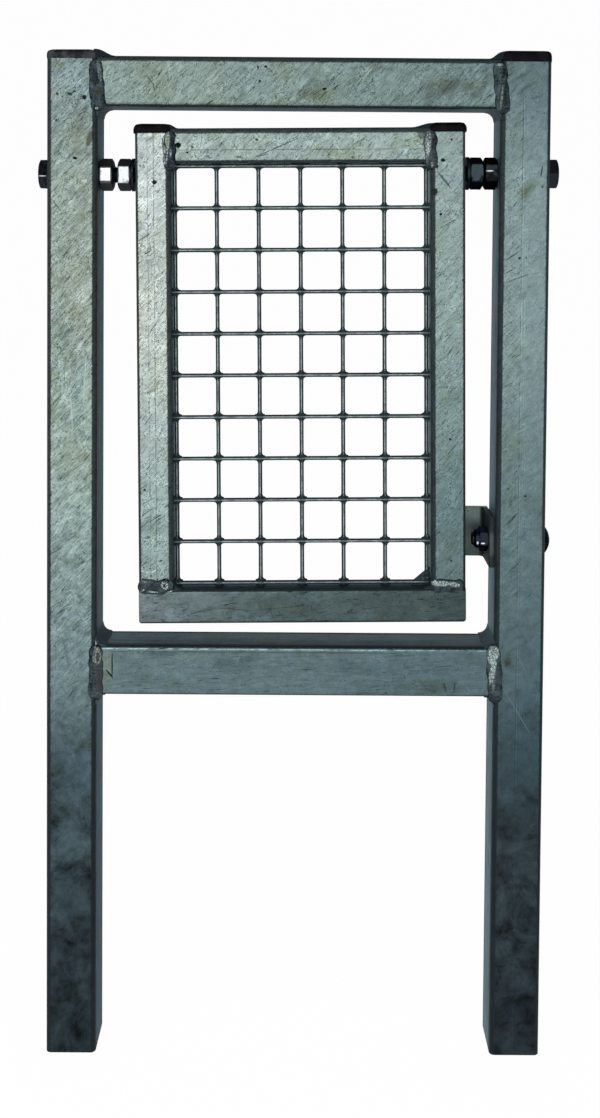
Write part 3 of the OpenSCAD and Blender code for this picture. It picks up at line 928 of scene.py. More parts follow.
# The stop nut's two glints are painted highlights.
low, high = box("stop_nut")
glint_height = (low.z + high.z) / 2 - 1.2 * MM
stop_nut(plated("blue_black_plate", (0.016, 0.021, 0.030), rough=0.2, glints=[
    ((low.x + 1.5 * MM, low.y, glint_height), (0.6 * MM, 1.0 * MM)),
    ((low.x + 4.6 * MM, low.y, glint_height), (1.3 * MM, 0.45 * MM))]))


# ---------------------------------------------------------------- caps

# (inset, height over the tube's end) in mm, from each cap's skirt to its crown.
POST_CAP = [(1.2, -1.9), (0.2, -1.9), (0, -1.5), (0, 1.0), (0.2, 2.6), (0.7, 3.8), (1.6, 4.5), (3.2, 4.8),
            (6, 4.9)]
STILE_CAP = [(0.9, -2.9), (0.2, -2.9), (0, -2.4), (0, -0.4), (0.35, 0.8), (1.0, 1.9), (1.9, 2.6),
             (3.4, 2.9), (6.5, 2.95)]


def cap(tube, levels, trim, corner, finish, seed, wavy, lean=0.0):
    """A moulded cap over a tube's end, from its levels; trim is taken off its node's half width.

    wavy is the height of its waves in mm, and lean the share by which it is lower on its left.
    """
    node = tube + "_cap"
    hang = tube in HUNG_TUBES
    measure = upright_box if hang else box
    low, high = measure(node)
    half = (high.x - low.x) / 2 - trim
    centre = Vector(((low.x + high.x) / 2, (low.y + high.y) / 2, measure(tube)[1].z))
    loops = []
    for inset, height in levels:
        inset *= MM
        height *= MM
        loop = square_points(half - inset, max(corner - inset * 0.35, 1.2 * MM), height)
        for point in loop:
            if height > 0:
                wave = noise.noise(Vector((point.x * 110, point.y * 60, seed)))
                point.z *= 1 - lean * 0.5 * (1 - point.x / half)
                point.z += min(wave, 0) * wavy * MM * min(1, height / (3 * MM))
        loops.append([point + centre for point in loop])
    bm = bmesh.new()
    skin(bm, loops)
    finish_piece(bm, node + "_moulded", FLAP if hang else FRAME, finish, node, hang=hang,
                 sharp=50)


# The grey patches on the left post's cap are partly dust and partly painted sheen.
black_plastic = plastic("black_cap_plastic", 0.06, (0.008, 0.008, 0.010))
dust_and_sheen_plastic = plastic("dust_and_sheen_cap_plastic", 0.22, (0.050, 0.056, 0.060))
cap("left_post", POST_CAP, 0.6 * MM, 3.8 * MM, dust_and_sheen_plastic, seed=0.4, wavy=1.6, lean=0.3)
cap("right_post", POST_CAP, 0.6 * MM, 3.8 * MM, black_plastic, seed=3.7, wavy=0.3)
cap("left_stile", STILE_CAP, 0, 3.5 * MM, black_plastic, seed=2, wavy=0.3)
cap("right_stile", STILE_CAP, 0, 3.5 * MM, black_plastic, seed=7.1, wavy=0.3)


# ---------------------------------------------------------------- welds

FILLET = (6.3 * MM, 6.3 * MM)
PAST_CORNER = 1.5 * MM  # how far the metal beside a cap starts inside the tube's corner


def frame_weld(node, side, rail, ends, lean, seed, marks, behind, tint=WELD):
    """The bead over a frame joint's front, the metal in its corners and the dressed back.

    ends are how far the bead runs past the rail below and above, and lean its offset at either end.
    """
    low, high = box(rail)
    joint_x = low.x if side < 0 else high.x
    inward = RIGHT * -side
    front, back = low.y, high.y
    bm = bmesh.new()
    bead(bm, Vector((joint_x - lean, front, low.z - ends[0])),
         Vector((joint_x + lean, front, high.z + ends[1])), FRONT, width=8.6 * MM, height=1.15 * MM,
         sink=2.6 * MM, seed=seed, lumpy=0.3, wander=0.5)
    for z, up in ((low.z, -UP), (high.z, UP)):
        corner = Vector((joint_x, 0, z))
        if rail == "top_rail" and up == UP:
            # The metal beside the cap takes a weld toe's full dark, partly grime and partly painted shade.
            legs = ((13 if side < 0 else 9) * MM, 4.5 * MM)
            corner_fill(bm, corner - inward * PAST_CORNER, inward, up, front + 0.6 * MM, back - 0.3 * MM,
                        legs, seed, uneven=0.04, grime_and_shade=1.0, curve=slope)
        else:
            corner_fill(bm, corner, inward, up, front + 0.9 * MM, back - 0.3 * MM, FILLET, seed + up.z)
    bead(bm, Vector((joint_x, back, low.z + 1 * MM)), Vector((joint_x, back, high.z - 1 * MM)), BACK,
         width=5.5 * MM, height=0.02 * MM, sink=2.6 * MM, ripple=0, seed=seed + 3)
    finish = weld_zinc(node + "_zinc", front, (joint_x, 0, (low.z + high.z) / 2), marks, tint, behind)
    finish_piece(bm, node + "_laid", FRAME, finish, node)


# Light streaks down the middle of the beads are painted highlights; PALE marks are partly pale zinc and
# partly painted highlights.
frame_weld(
    "top_left_weld", -1, "top_rail", ends=(3 * MM, -2.5 * MM), lean=-1.0 * MM, seed=1,
    behind=(0.026, 0.044, 0.052), tint=(0.030, 0.042, 0.047), marks=[
        (1.6, 6, 1.2, 7, -8, 0.8, (0.26, 0.31, 0.30)), (-0.6, 10, 2.0, 2.6, 0, 0.6, (0.11, 0.14, 0.145)),
        (1.2, -6, 2.0, 3.4, 10, 0.7, (0.045, 0.050, 0.026)), (-1.2, 0, 1.6, 5, 0, 0.6, (0.016, 0.022, 0.024)),
        (0, -16.6, 0.9, 0.7, 0, 1, PALE)])
frame_weld(
    "top_right_weld", 1, "top_rail", ends=(3 * MM, -2.5 * MM), lean=-1.2 * MM, seed=9,
    behind=(0.048, 0.082, 0.098), tint=(0.032, 0.046, 0.051), marks=[
        (-1.4, -1, 1.0, 12, 6, 0.7, (0.10, 0.14, 0.14)), (-1.6, 11, 2.4, 1.1, 0, 0.9, PALE),
        (0.1, -8, 0.8, 7, 5, 0.8, (0.27, 0.34, 0.27)), (2.4, -2, 1.0, 12, 6, 0.7, (0.018, 0.026, 0.029))])
frame_weld(
    "sill_left_weld", -1, "sill_rail", ends=(3 * MM, 0.5 * MM), lean=0, seed=17,
    behind=(0.036, 0.056, 0.065), marks=[
        (2.4, -4, 2.2, 12, 0, 0.7, (0.06, 0.056, 0.06)), (1.0, 9, 2.6, 5, 0, 1, (0.36, 0.40, 0.34)),
        (1.3, 8.5, 1.3, 3.4, 0, 0.9, (0.05, 0.065, 0.06)), (-0.4, 16.5, 0.7, 2, 0, 1, PALE)])
frame_weld(
    "sill_right_weld", 1, "sill_rail", ends=(3 * MM, 2.5 * MM), lean=-1.0 * MM, seed=25,
    behind=(0.066, 0.100, 0.116), marks=[
        (-1.2, 11.5, 3.6, 6, 12, 1, PALE), (-0.8, 3, 1.9, 9, 8, 1, PALE),
        (-0.4, -6, 1.0, 5, 5, 0.7, (0.30, 0.36, 0.32))])


def flap_weld_finish(node, front, middle, marks, tint=WELD):
    """The finish of a weld on the flap, its marks hung with the weld."""
    return weld_zinc(node + "_zinc", front, HUNG @ Vector(middle), marks, tint)


def flap_top_weld(node, side, seed, marks, tint=WELD):
    """The upright beads over a top joint, and the metal in its corner and beside the cap."""
    low, high = upright_box("flap_top_rail")
    joint_x = low.x if side < 0 else high.x
    inward = RIGHT * -side
    bm = bmesh.new()
    for face, outward in ((low.y, FRONT), (high.y, BACK)):
        bead(bm, Vector((joint_x + 0.7 * MM * side, face, low.z - 4.5 * MM)),
             Vector((joint_x - 0.3 * MM * side, face, high.z - 1.8 * MM)), outward, width=7.6 * MM,
             height=1.2 * MM, sink=2 * MM, seed=seed, lumpy=0.4, wander=0.8)
    corner_fill(bm, Vector((joint_x, 0, low.z)), inward, -UP, low.y + 0.9 * MM, high.y - 0.9 * MM,
                (4.5 * MM, 4.5 * MM), seed + 1)
    # The metal beside the cap takes a weld toe's full dark, partly grime and partly painted shade.
    legs = ((6.5 if side < 0 else 13) * MM, 2.6 * MM)
    corner_fill(bm, Vector((joint_x, 0, high.z)) - inward * 1.2 * MM, inward, UP, low.y + 0.6 * MM,
                high.y - 0.6 * MM, legs, seed + 2, uneven=0.04, grime_and_shade=1.0, curve=slope)
    finish = flap_weld_finish(node, low.y, (joint_x, 0, (low.z + high.z) / 2), marks, tint)
    finish_piece(bm, node + "_laid", FLAP, finish, node, hang=True)


def flap_bottom_weld(node, side, seed, marks):
    """The level beads over a bottom joint, with lumps at the front, and the metal in its corner."""
    low, high = upright_box("flap_bottom_rail")
    stile_low, stile_high = upright_box("left_stile" if side < 0 else "right_stile")
    past_stile = (0.4 if side < 0 else -0.9) * MM
    bm = bmesh.new()
    for face, outward in ((low.y, FRONT), (high.y, BACK)):
        bead(bm, Vector((stile_low.x - 0.6 * MM, face, high.z + 2.1 * MM)),
             Vector((stile_high.x + past_stile, face, high.z + 1.8 * MM)), outward, width=8.8 * MM,
             height=1.1 * MM, sink=2 * MM, seed=seed, lumpy=0.6, wander=1.0)
    inner_x = stile_high.x if side < 0 else stile_low.x
    corner_fill(bm, Vector((inner_x, 0, high.z)), RIGHT * -side, UP, low.y + 0.9 * MM, high.y - 0.9 * MM,
                (5 * MM, 5 * MM), seed + 1)
    if side < 0:
        crater_at = Vector((inner_x - 5.0 * MM, low.y, high.z + 2.9 * MM))
        blob(bm, crater_at, FRONT, 8.4 * MM, 1.5 * MM, 5)
        crater(bm, crater_at + FRONT * 0.9 * MM, FRONT, 1.7 * MM, 0.6 * MM)
        blob(bm, Vector((stile_low.x + 3 * MM, low.y, high.z + 2.5 * MM)), FRONT, 5 * MM, 1.35 * MM, 2)
    else:
        blob(bm, Vector((stile_low.x + 7 * MM, low.y, high.z + 1.6 * MM)), FRONT, 5 * MM, 1.35 * MM, 4, 0.6)
    middle = ((stile_low.x + stile_high.x) / 2, 0, high.z + 1.6 * MM)
    finish = flap_weld_finish(node, low.y, middle, marks)
    finish_piece(bm, node + "_laid", FLAP, finish, node, hang=True)


# Light streaks down the beads, and the ring and dot on the crater, are painted highlights; PALE marks are
# partly pale zinc and partly painted highlights.
flap_top_weld("flap_top_left_weld", -1, seed=31, tint=(0.022, 0.030, 0.038), marks=[
    (-2.6, 0, 2.5, 12.5, 4, 1, (0.46, 0.54, 0.50)), (-1.4, 2.5, 1.1, 5, -8, 0.8, (0.38, 0.42, 0.28)),
    (-3.4, 3, 0.5, 4.5, -14, 0.9, (0.02, 0.026, 0.026)), (-2.2, -6, 0.4, 3, 10, 0.9, (0.02, 0.026, 0.026)),
    (0.6, -4.5, 0.7, 3, 0, 0.7, PALE)])
flap_top_weld("flap_top_right_weld", 1, seed=37, marks=[
    (-1.8, 0, 2.0, 9.5, 3, 1, (0.34, 0.40, 0.40)), (-1.5, -2.5, 1.0, 4.5, 0, 1, (0.62, 0.68, 0.66)),
    (1.0, -12, 1.0, 1.6, 0, 1, (0.36, 0.42, 0.38))])
flap_bottom_weld("flap_bottom_left_weld", -1, seed=43, marks=[
    (-7.0, 3.6, 1.6, 0.6, 10, 0.9, (0.40, 0.46, 0.42)), (5.5, 1.3, 2.3, 2.3, 0, 1, (0.70, 0.80, 0.80)),
    (5.5, 1.3, 1.25, 1.25, 0, 1, (0.02, 0.028, 0.032)), (5.9, 1.5, 0.45, 0.5, 0, 1, (0.50, 0.60, 0.62)),
    (-2, -2.6, 3.4, 0.6, 4, 1, PALE), (-8, -1.8, 1.6, 0.5, -30, 0.9, PALE),
    (8, -2.8, 2.8, 0.7, -18, 1, PALE)])
flap_bottom_weld("flap_bottom_right_weld", 1, seed=51, marks=[
    (-5, 1.6, 5.5, 1.6, 0, 1, PALE), (3, 1.2, 4, 1.5, 8, 0.9, PALE), (-9, 2.5, 2, 1.5, 0, 1, PALE)])


# ---------------------------------------------------------------- mesh

WIRE_POINTS = 12
WEB_SHARES = (1.0, 0.55, 0.28, 0.1, 0.0)  # of the way along a web, where the wire has a cross-section


def wire(bm, start, along, sideways, length, crossings, seed):
    """A wire that widens into a web of zinc where it meets another wire or a rail."""
    ways = {round(crossing + sign * (WIRE_RADIUS + WEB * share), 6)
            for crossing in crossings for share in WEB_SHARES for sign in (-1, 1)}
    ways = [0.0] + sorted(way for way in ways if 0 < way < length) + [length]
    outward = along.cross(sideways)
    loops = []
    for way in ways:
        nearest = min(abs(way - crossing) for crossing in crossings) - WIRE_RADIUS
        gap = min(max(nearest, 0), WEB)
        swell = WEB - math.sqrt(WEB ** 2 - (WEB - gap) ** 2)
        uneven = 1 + 0.05 * noise.noise(Vector((way * 90, seed * 2.3, 4)))
        wide = (WIRE_RADIUS + swell) * uneven
        thick = (WIRE_RADIUS + swell * 0.12) * uneven
        turns = [2 * math.pi * turn / WIRE_POINTS for turn in range(WIRE_POINTS)]
        loops.append([start + along * way + sideways * math.cos(turn) * wide
                      + outward * math.sin(turn) * thick for turn in turns])
    skin(bm, loops)


def welded_mesh(finish):
    """The upright wires, and the cross wires laid on their front."""
    low, high = upright_box("mesh_panel")
    wide = high.x - low.x
    tall = high.z - low.z
    mid_x = (low.x + high.x) / 2
    top_wire = high.z - PANEL_RIM - WIRE_RADIUS
    uprights = [mid_x + (index - (UPRIGHT_WIRES - 1) / 2) * WIRE_PITCH for index in range(UPRIGHT_WIRES)]
    crosses = [top_wire - index * WIRE_PITCH for index in range(CROSS_WIRES)]
    cross_y = pivot.y + SUNK_TOGETHER - 2 * WIRE_RADIUS
    bm = bmesh.new()
    for index, x in enumerate(uprights):
        crossings = [z - low.z for z in crosses] + [-WIRE_RADIUS, tall + WIRE_RADIUS]
        wire(bm, Vector((x, pivot.y, low.z)), UP, RIGHT, tall, crossings, index)
    for index, z in enumerate(crosses):
        crossings = [x - low.x for x in uprights] + [-WIRE_RADIUS, wide + WIRE_RADIUS]
        wire(bm, Vector((low.x, cross_y, z)), RIGHT, UP, wide, crossings, index + 20)
    finish_piece(bm, "mesh_panel_welded", FLAP, finish, "mesh_panel", hang=True)


def mesh_tacks(finish):
    """The metal that tacks the mesh into the flap's corners, and a short bead at its top.

    Each corner's metal reaches so far along the rail and up the stile, in mm; the largest is flat.
    """
    low, high = upright_box("mesh_panel")
    y = pivot.y - 0.5 * MM
    bm = bmesh.new()
    for x, side, z, up, wide, tall in (
            (low.x, -1, low.z, 1, 6, 6), (low.x, -1, high.z, -1, 5, 5),
            (high.x, 1, low.z, 1, 12.5, 10.5), (high.x, 1, high.z, -1, 5.5, 5.5)):
        seed = wide * 0.9
        corner_fill(bm, Vector((x, 0, z)), RIGHT * -side, UP * up, y - 2.2 * MM, y + 1.5 * MM,
                    (wide * MM, tall * MM), seed, uneven=0.25, curve=flat if wide > 9 else hollow)
        tack_at = Vector((x - side * wide * MM * 0.25, y - 1.6 * MM, z + up * tall * MM * 0.25))
        blob(bm, tack_at, FRONT, 3.2 * MM, 1.2 * MM, seed)
    mid_x = (low.x + high.x) / 2
    bead(bm, Vector((mid_x - 6 * MM, y, high.z)), Vector((mid_x + 6 * MM, y, high.z)), -UP,
         width=4 * MM, height=2.2 * MM, seed=70)
    finish_piece(bm, "mesh_tacks_laid", FLAP, finish, "mesh_tacks", hang=True)


def spatter(finish):
    """Drops of weld metal thrown on the flap beside its joints: x, z from a joint, and width, in mm."""
    rail_low, rail_high = upright_box("flap_top_rail")
    foot = upright_box("flap_bottom_rail")[1].z
    bm = bmesh.new()
    for joint_x, joint_z, drops in (
            (rail_low.x, rail_high.z, [(5.0, -10.2, 3.4), (10.5, -14.5, 1.2)]),
            (rail_high.x, rail_low.z, [(3.6, -2.6, 2.2)]),
            (rail_high.x, rail_high.z, [(12.5, -7.6, 1.4)]),
            (rail_low.x, foot, [(-18.5, 6.8, 1.2), (-13.5, 8.6, 1.1), (-9.5, 6.4, 1.0)]),
            (rail_high.x, foot, [(12.0, 17.0, 1.2), (4.0, -6.5, 1.0)])):
        for x, z, width in drops:
            drop_at = Vector((joint_x + x * MM, rail_low.y, joint_z + z * MM))
            blob(bm, drop_at, FRONT, width * MM, width * 0.3 * MM, x)
    finish_piece(bm, "flap_weld_spatter", FLAP, finish, hang=True)


welded_mesh(wire_zinc("mesh_zinc"))
mesh_tacks(weld_zinc("tack_zinc", pivot.y - 3 * MM, pivot, tint=(0.024, 0.034, 0.038)))
spatter(plated("dark_spatter", (0.020, 0.026, 0.028), rough=0.35))


# ---------------------------------------------------------------- tubes

# Widths of the painted shade on the tubes' rounded edges.
THIN = 1.5 * MM
EDGE = 2.5 * MM
FULL = 3.1 * MM
DARK = (0.008, 0.010, 0.011)
SCRATCH = (0.20, 0.26, 0.27)
RUN = (0.42, 0.50, 0.50)
LINE = (0.030, 0.044, 0.048)
FLECK = (0.50, 0.60, 0.58)
RUST = (0.060, 0.050, 0.032)
BROWNED = (0.80, 0.76, 0.66)
SHADED = (0.66, 0.70, 0.70)

# The zinc on each tube, with places in mm from the tube's middle.
# Their tones darken down the posts' legs as painted shade, and are lighter towards the left partly as painted
# light.
TUBES = {
    "left_post": dict(
        along="z", contrast=1.08, rims=(FULL, FULL), blotched=(-70, -195), calm=(-40, -110),
        tones=[
            (-302, 0.020, 0.031, 0.036), (-272, 0.020, 0.031, 0.036), (-227, 0.0245, 0.037, 0.044),
            (-172, 0.039, 0.061, 0.069), (-117, 0.062, 0.094, 0.110), (-72, 0.160, 0.232, 0.245),
            (33, 0.274, 0.358, 0.334), (136, 0.278, 0.337, 0.298), (226, 0.225, 0.272, 0.247),
            (283, 0.198, 0.262, 0.263), (302, 0.17, 0.225, 0.227)],
        smudges=[
            (-8, 297, 4.5, 2.5, 0, 1, BROWNED), (9, 285, 1.8, 2.2, 0, 1, SHADED),
            (-3, -56, 9, 1.0, 76, 1, SHADED), (6.5, -65, 3, 3, 0, 0.6, SHADED),
            (-6.5, 134, 6.5, 10, 25, 0.9, (0.62, 0.68, 0.68)), (3, 148, 8, 6, -30, 0.8, BROWNED),
            (6.5, 160, 5, 8, 15, 1, (1.28, 1.24, 1.30)), (4, 255, 9, 14, 20, 0.8, BROWNED),
            (2, 170, 9, 16, 35, 0.6, BROWNED), (-5, 120, 8, 15, 30, 0.6, SHADED),
            (2, 62, 11, 16, 0, 0.6, BROWNED), (4.2, 98, 3.8, 27, 3, 1, (0.82, 0.88, 0.91))],
        marks=[
            (11, 253, 2.2, 4.5, 20, 0.8, RUST), (7.5, 277, 1.6, 1.7, 0, 1, DARK),
            (-1, 279, 1.7, 0.9, 20, 0.85, DARK), (1.8, 280.5, 0.8, 0.6, 0, 0.8, DARK),
            (-8.5, 279, 1.0, 0.8, 0, 0.9, DARK), (-5.5, 277.5, 0.7, 0.5, 0, 0.7, DARK),
            (2, 241, 1.3, 0.9, 0, 1, DARK), (-9, 213, 0.32, 4.2, -38, 0.7, DARK),
            (8.0, 108, 0.36, 17, 3, 0.65, RUN), (0.3, 88, 0.36, 13, -3, 0.65, RUN),
            (3.8, 117, 0.3, 7.7, 22, 0.6, RUN), (-4, 112, 0.3, 11, 2, 0.35, DARK)]),
    "right_post": dict(
        along="z", contrast=0.72, rims=(FULL, EDGE), blotched=(-100, -195), calm=(10, -80), brushed=0.8,
        glints=[(-1.1, 0.35, 0.4), (0.5, 0.25, 0.25), (1.6, 0.25, 0.2)], seams=[(-1.8, 0.35, 0.3)],
        seed=0.7, parted=(-1.4, (0.93, 0.945, 0.975)), inner=-1,
        tones=[
            (-302, 0.016, 0.024, 0.028), (-272, 0.017, 0.025, 0.030), (-227, 0.0295, 0.0435, 0.050),
            (-172, 0.026, 0.038, 0.043), (-117, 0.041, 0.069, 0.082), (-64, 0.083, 0.132, 0.146),
            (33, 0.127, 0.188, 0.191), (136, 0.204, 0.276, 0.268), (226, 0.203, 0.275, 0.270),
            (283, 0.124, 0.176, 0.180), (302, 0.115, 0.162, 0.168)],
        side_shades=[
            (-302, 0.091, 0.143, 0.167), (-60, 0.096, 0.149, 0.173), (60, 0.086, 0.134, 0.158),
            (302, 0.082, 0.123, 0.145)],
        smudges=[
            (-7.2, -60, 2.8, 2.8, 0, 1, (0.55, 0.42, 0.34)), (1, 224, 4.5, 8, 40, 1, BROWNED),
            (0, 222, 1.2, 6, 42, 1, SHADED), (-4, 291, 9, 1.1, -32, 1, SHADED),
            (-1, 284, 7, 1.0, -34, 1, SHADED), (6, 279, 3.5, 1.0, -28, 1, SHADED)],
        marks=[
            (9.5, 235, 0.45, 3.5, 8, 0.8, DARK), (-7.6, 184.5, 6, 0.45, -33, 0.75, LINE),
            (-9, 175.5, 3, 0.5, -28, 0.75, LINE), (-4.3, 171.3, 8, 0.4, -20, 0.6, LINE),
            (-6, 215.5, 0.3, 2, 30, 0.7, DARK), (-1.7, -89, 0.22, 18, -31, 0.5, SCRATCH),
            (2, -62, 0.2, 6, -24, 0.4, SCRATCH)]),
    "top_rail": dict(
        along="x", contrast=0.9, seed=1.3, inner=-1, rims=(THIN, 3.6 * MM),
        tones=[
            (-120, 0.205, 0.27, 0.25), (-60, 0.205, 0.265, 0.24), (40, 0.165, 0.225, 0.213),
            (120, 0.14, 0.197, 0.195)],
        smudges=[
            (87, -2, 15, 6, 0, 1, (0.62, 0.58, 0.52)), (12, -8, 12, 5, 0, 0.9, (0.70, 0.66, 0.52)),
            (-85, 0, 16, 9, 60, 0.6, BROWNED)],
        marks=[
            (-20, 9, 0.9, 0.9, 0, 1, DARK), (-24.5, 8.6, 0.7, 0.7, 0, 1, DARK),
            (15, -4, 1.6, 0.8, 0, 1, DARK), (-88.5, 0.5, 0.35, 3.6, -38, 0.75, LINE),
            (-86.4, -3.4, 0.35, 2.8, -12, 0.7, LINE), (-104, 2.5, 9, 0.3, -28, 0.4, LINE),
            (-98, -4, 8, 0.3, -30, 0.35, LINE)]),
    "sill_rail": dict(
        along="x", contrast=0.55, seed=2.1, lay=NEAR_LEVEL, rims=(THIN, 0.8 * MM),
        glints=[(13.5, 0.42, 2.3)],
        tones=[(-120, 0.131, 0.190, 0.198), (120, 0.096, 0.149, 0.165)],
        side_shades=[(-120, 0.083, 0.117, 0.129), (0, 0.092, 0.121, 0.128), (120, 0.083, 0.113, 0.119)],
        smudges=[
            (-113, 4, 3.4, 9, 0, 1, (1.25, 1.08, 0.86)), (84, -9, 16, 4, 0, 1, BROWNED),
            (-40, 4, 12, 5, 0, 0.8, SHADED), (-78, 10.5, 13, 1.1, 0, 0.9, SHADED),
            (-28, 8, 7, 2.2, 0, 0.8, SHADED), (38, 3, 14, 4, 0, 0.6, SHADED)],
        marks=[
            (-110.2, 3, 0.4, 8.5, 0, 1, DARK), (-112, -1.5, 0.5, 3.6, -40, 1, DARK),
            (-20, 11.9, 98, 0.55, 0, 0.5, (0.05, 0.05, 0.03)), (96, -9, 0.5, 3, 8, 0.6, DARK),
            (90.5, -9, 0.6, 3.3, -12, 0.5, DARK)]),
    "left_stile": dict(
        along="z", contrast=1.0, brushed=0.6, cracked=1.7, rims=(1.9 * MM, 3.0 * MM),
        seams=[(0.6, 0.3, 0.55), (-3.1, 0.25, 0.35)], seed=3.3,
        tones=[
            (-140, 0.26, 0.34, 0.33), (-80, 0.31, 0.40, 0.385), (20, 0.447, 0.493, 0.450),
            (100, 0.44, 0.495, 0.48), (140, 0.41, 0.47, 0.46)],
        smudges=[(-3, 133, 6, 1.4, -12, 0.9, SHADED), (-2, 60, 7, 16, 20, 0.5, SHADED)],
        marks=[
            (-0.2, 107, 1.5, 1.5, 0, 1, DARK), (5, 128, 0.5, 6, -6, 0.8, DARK),
            (-7.2, -127.6, 1.5, 0.55, 10, 1, FLECK), (-3.8, -128.4, 1.1, 0.5, -8, 1, FLECK),
            (0.2, -127.9, 1.6, 0.5, -30, 0.9, FLECK), (-5.8, -125.6, 0.5, 0.5, 0, 1, DARK),
            (-1.9, -126.0, 0.45, 0.45, 0, 1, DARK), (4.5, -121.5, 1.0, 0.5, -30, 0.9, DARK),
            (-8.0, -124.2, 0.4, 0.4, 0, 1, DARK)]),
    "right_stile": dict(
        along="z", contrast=0.75, inner=-1, rims=(FULL, 1.8 * MM), seed=4.2, brushed=0.8, cracked=1.3,
        tones=[
            (-140, 0.115, 0.172, 0.175), (-80, 0.136, 0.206, 0.208), (20, 0.238, 0.316, 0.303),
            (140, 0.228, 0.295, 0.284)],
        side_shades=[(-140, 0.13, 0.19, 0.19), (140, 0.17, 0.24, 0.24)],
        marks=[
            (-3.7, 107.5, 0.7, 6.0, -40, 0.75, (0.03, 0.036, 0.03)),
            (-9.4, 100.5, 2.0, 2.4, 20, 1, (0.02, 0.026, 0.02)),
            (-8.0, 96.5, 1.4, 0.9, 30, 0.8, (0.30, 0.36, 0.34)), (-5.6, 87, 1.0, 1.0, 0, 1, DARK),
            (-4.6, 119.3, 1.5, 1.2, 0, 1, DARK)]),
    "flap_top_rail": dict(
        along="x", contrast=1.0, brushed=0.6, inner=-1, cracked=1.3, rims=(1.9 * MM, 3.6 * MM),
        seams=[(-2.6, 0.28, 0.6)], seed=5.6,
        tones=[(-80, 0.275, 0.34, 0.315), (80, 0.265, 0.335, 0.313)],
        marks=[
            (74, 6.5, 4.5, 2.5, 20, 0.6, DARK), (-26, 3, 0.9, 0.7, 0, 1, DARK),
            (-12.7, -1.0, 15, 0.36, -24, 0.8, LINE), (-35.8, -7.6, 2.8, 0.9, 10, 0.6, LINE),
            (-54.8, -7.4, 0.6, 2.0, -50, 0.7, DARK), (-64.4, -1.6, 1.2, 0.7, 30, 0.9, DARK),
            (-22.4, -6.2, 3.6, 0.4, -14, 0.7, LINE)]),
    "flap_bottom_rail": dict(
        along="x", contrast=0.68, lay=SLIGHT_FALL, brushed=0.1, cracked=0.3, flowing=0.45,
        rims=(THIN, THIN), seed=6.4,
        tones=[
            (-99, 0.172, 0.211, 0.224), (-75, 0.129, 0.172, 0.177), (-30, 0.088, 0.127, 0.130),
            (99, 0.0515, 0.075, 0.0755)],
        smudges=[
            (-84, -3, 14, 4, 20, 0.8, (1.25, 1.2, 1.22)), (-20, 2, 10, 5, 0, 0.7, BROWNED),
            (-4, -2, 9, 4, 0, 1, BROWNED)],
        marks=[
            (-62, -3.7, 10, 0.35, -13, 0.55, LINE), (-41, -2.1, 11, 0.35, 5, 0.6, LINE),
            (-14, -1.0, 16, 0.3, -6, 0.45, LINE), (-25, -4.4, 0.35, 2.6, 12, 0.5, LINE),
            (-18.6, -4.6, 0.35, 2.8, -18, 0.6, LINE), (-12, -6.2, 0.3, 3.6, -42, 0.6, LINE),
            (-48, -5.2, 0.3, 2.4, -20, 0.4, LINE)]),
}

for node, look in TUBES.items():
    hung = node in HUNG_TUBES
    low, high = upright_box(node) if hung else box(node)
    centre = (low + high) / 2
    finish = galvanised(node + "_zinc", HUNG @ centre if hung else centre, HALF_STILE if hung else HALF_POST,
                        turn=-tilt if hung else 0, **look)
    frame["nodes"][node].material_slots[0].material = finish


# ---------------------------------------------------------------- studio

def area_light(name, place, aim, size, power):
    """A soft lamp of a size in metres and a power in watts, turned to what it lights."""
    lamp = bpy.data.lights.new(name, "AREA")
    lamp.shape = "RECTANGLE"
    lamp.size, lamp.size_y = size
    lamp.energy = power
    holder = bpy.data.objects.new(name, lamp)
    holder.location = place
    holder.rotation_euler = (aim - Vector(place)).to_track_quat("-Z", "Y").to_euler()
    bpy.context.scene.collection.objects.link(holder)


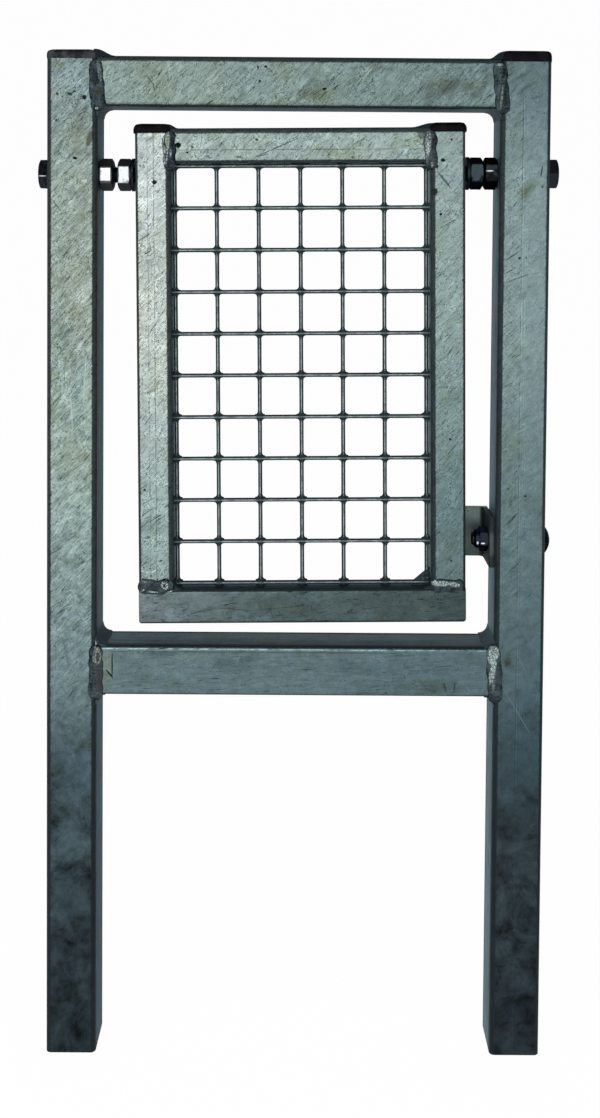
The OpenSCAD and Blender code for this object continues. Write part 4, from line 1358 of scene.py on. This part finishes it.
def background():
    """A dim even sky, white to the camera and through glass, and bright behind the gate in its gloss."""
    world = bpy.data.worlds.new("pale_studio")
    bpy.context.scene.world = world
    world.use_nodes = True
    world.node_tree.nodes.clear()
    sky = Nodes(world.node_tree)
    camera_ray, glossy_ray, glass_ray = sky.rays()
    way = sky.parts(sky.node("ShaderNodeTexCoord", output="Generated"))
    behind = sky.node("ShaderNodeMapRange", {"interpolation_type": "SMOOTHSTEP"},
                      {"Value": way[1], "From Min": 0.2, "From Max": 0.9, "To Max": 0.75})
    white_share = camera_ray.over(glass_ray).over(glossy_ray * behind)
    soft = sky.node("ShaderNodeBackground", {}, {"Color": (0.86, 0.93, 1.0, 1), "Strength": 0.2})
    white = sky.node("ShaderNodeBackground", {}, {"Color": (0.985, 0.985, 0.985, 1)})
    mixed = sky.node("ShaderNodeMixShader", {}, {0: white_share, 1: soft, 2: white})
    sky.feed(world.node_tree.nodes.new("ShaderNodeOutputWorld").inputs["Surface"], mixed)


def floor(centre):
    """A pale floor under the feet, which glows where the camera sees it."""
    bm = bmesh.new()
    bmesh.ops.create_grid(bm, x_segments=1, y_segments=1, size=6)
    bmesh.ops.translate(bm, vec=(centre.x, 0, cad_box[0][2]), verts=bm.verts)
    mesh = bpy.data.meshes.new("floor")
    bm.to_mesh(mesh)
    bm.free()
    plane = bpy.data.objects.new("floor", mesh)
    bpy.context.scene.collection.objects.link(plane)
    finish = Finish("pale_floor")
    finish.set(Base_Color=(0.9, 0.9, 0.9, 1), Roughness=0.9)
    glow = finish.node("ShaderNodeEmission", {}, {"Color": (1, 1, 1, 1), "Strength": 1.036})
    camera_ray, glossy_ray, glass_ray = finish.rays()
    seen = camera_ray.over(glossy_ray).over(glass_ray)
    plain = Reading(finish, finish.shader.outputs[0])
    mixed = finish.node("ShaderNodeMixShader", {}, {0: seen * 0.94, 1: plain, 2: glow})
    finish.feed(finish.tree.nodes["Material Output"].inputs["Surface"], mixed)
    mesh.materials.append(finish.material)


def camera(place, looks_down, rolls, turns, lens_mm, shift):
    """A camera in front of the gate: its turns are in radians, its shift in its view's longer side."""
    lens = bpy.data.cameras.new("camera")
    lens.lens = lens_mm
    lens.shift_y = shift
    holder = bpy.data.objects.new("camera", lens)
    holder.location = place
    holder.rotation_euler = (math.pi / 2 - looks_down, rolls, turns)
    bpy.context.scene.collection.objects.link(holder)
    bpy.context.scene.camera = holder


middle = (Vector(cad_box[0]) + Vector(cad_box[1])) / 2
middle.y = 0
area_light("key", (-0.5, -1.8, 0.7), middle, size=(3.0, 2.4), power=34)
area_light("fill", (1.3, -1.2, 0.1), middle, size=(0.8, 1.4), power=4)
background()
floor(middle)
camera((0.135, -0.7607, 0.2841), looks_down=0.0324, rolls=-0.0073, turns=-0.0014, lens_mm=39.5, shift=-0.263)
bpy.context.scene.view_settings.view_transform = "Standard"
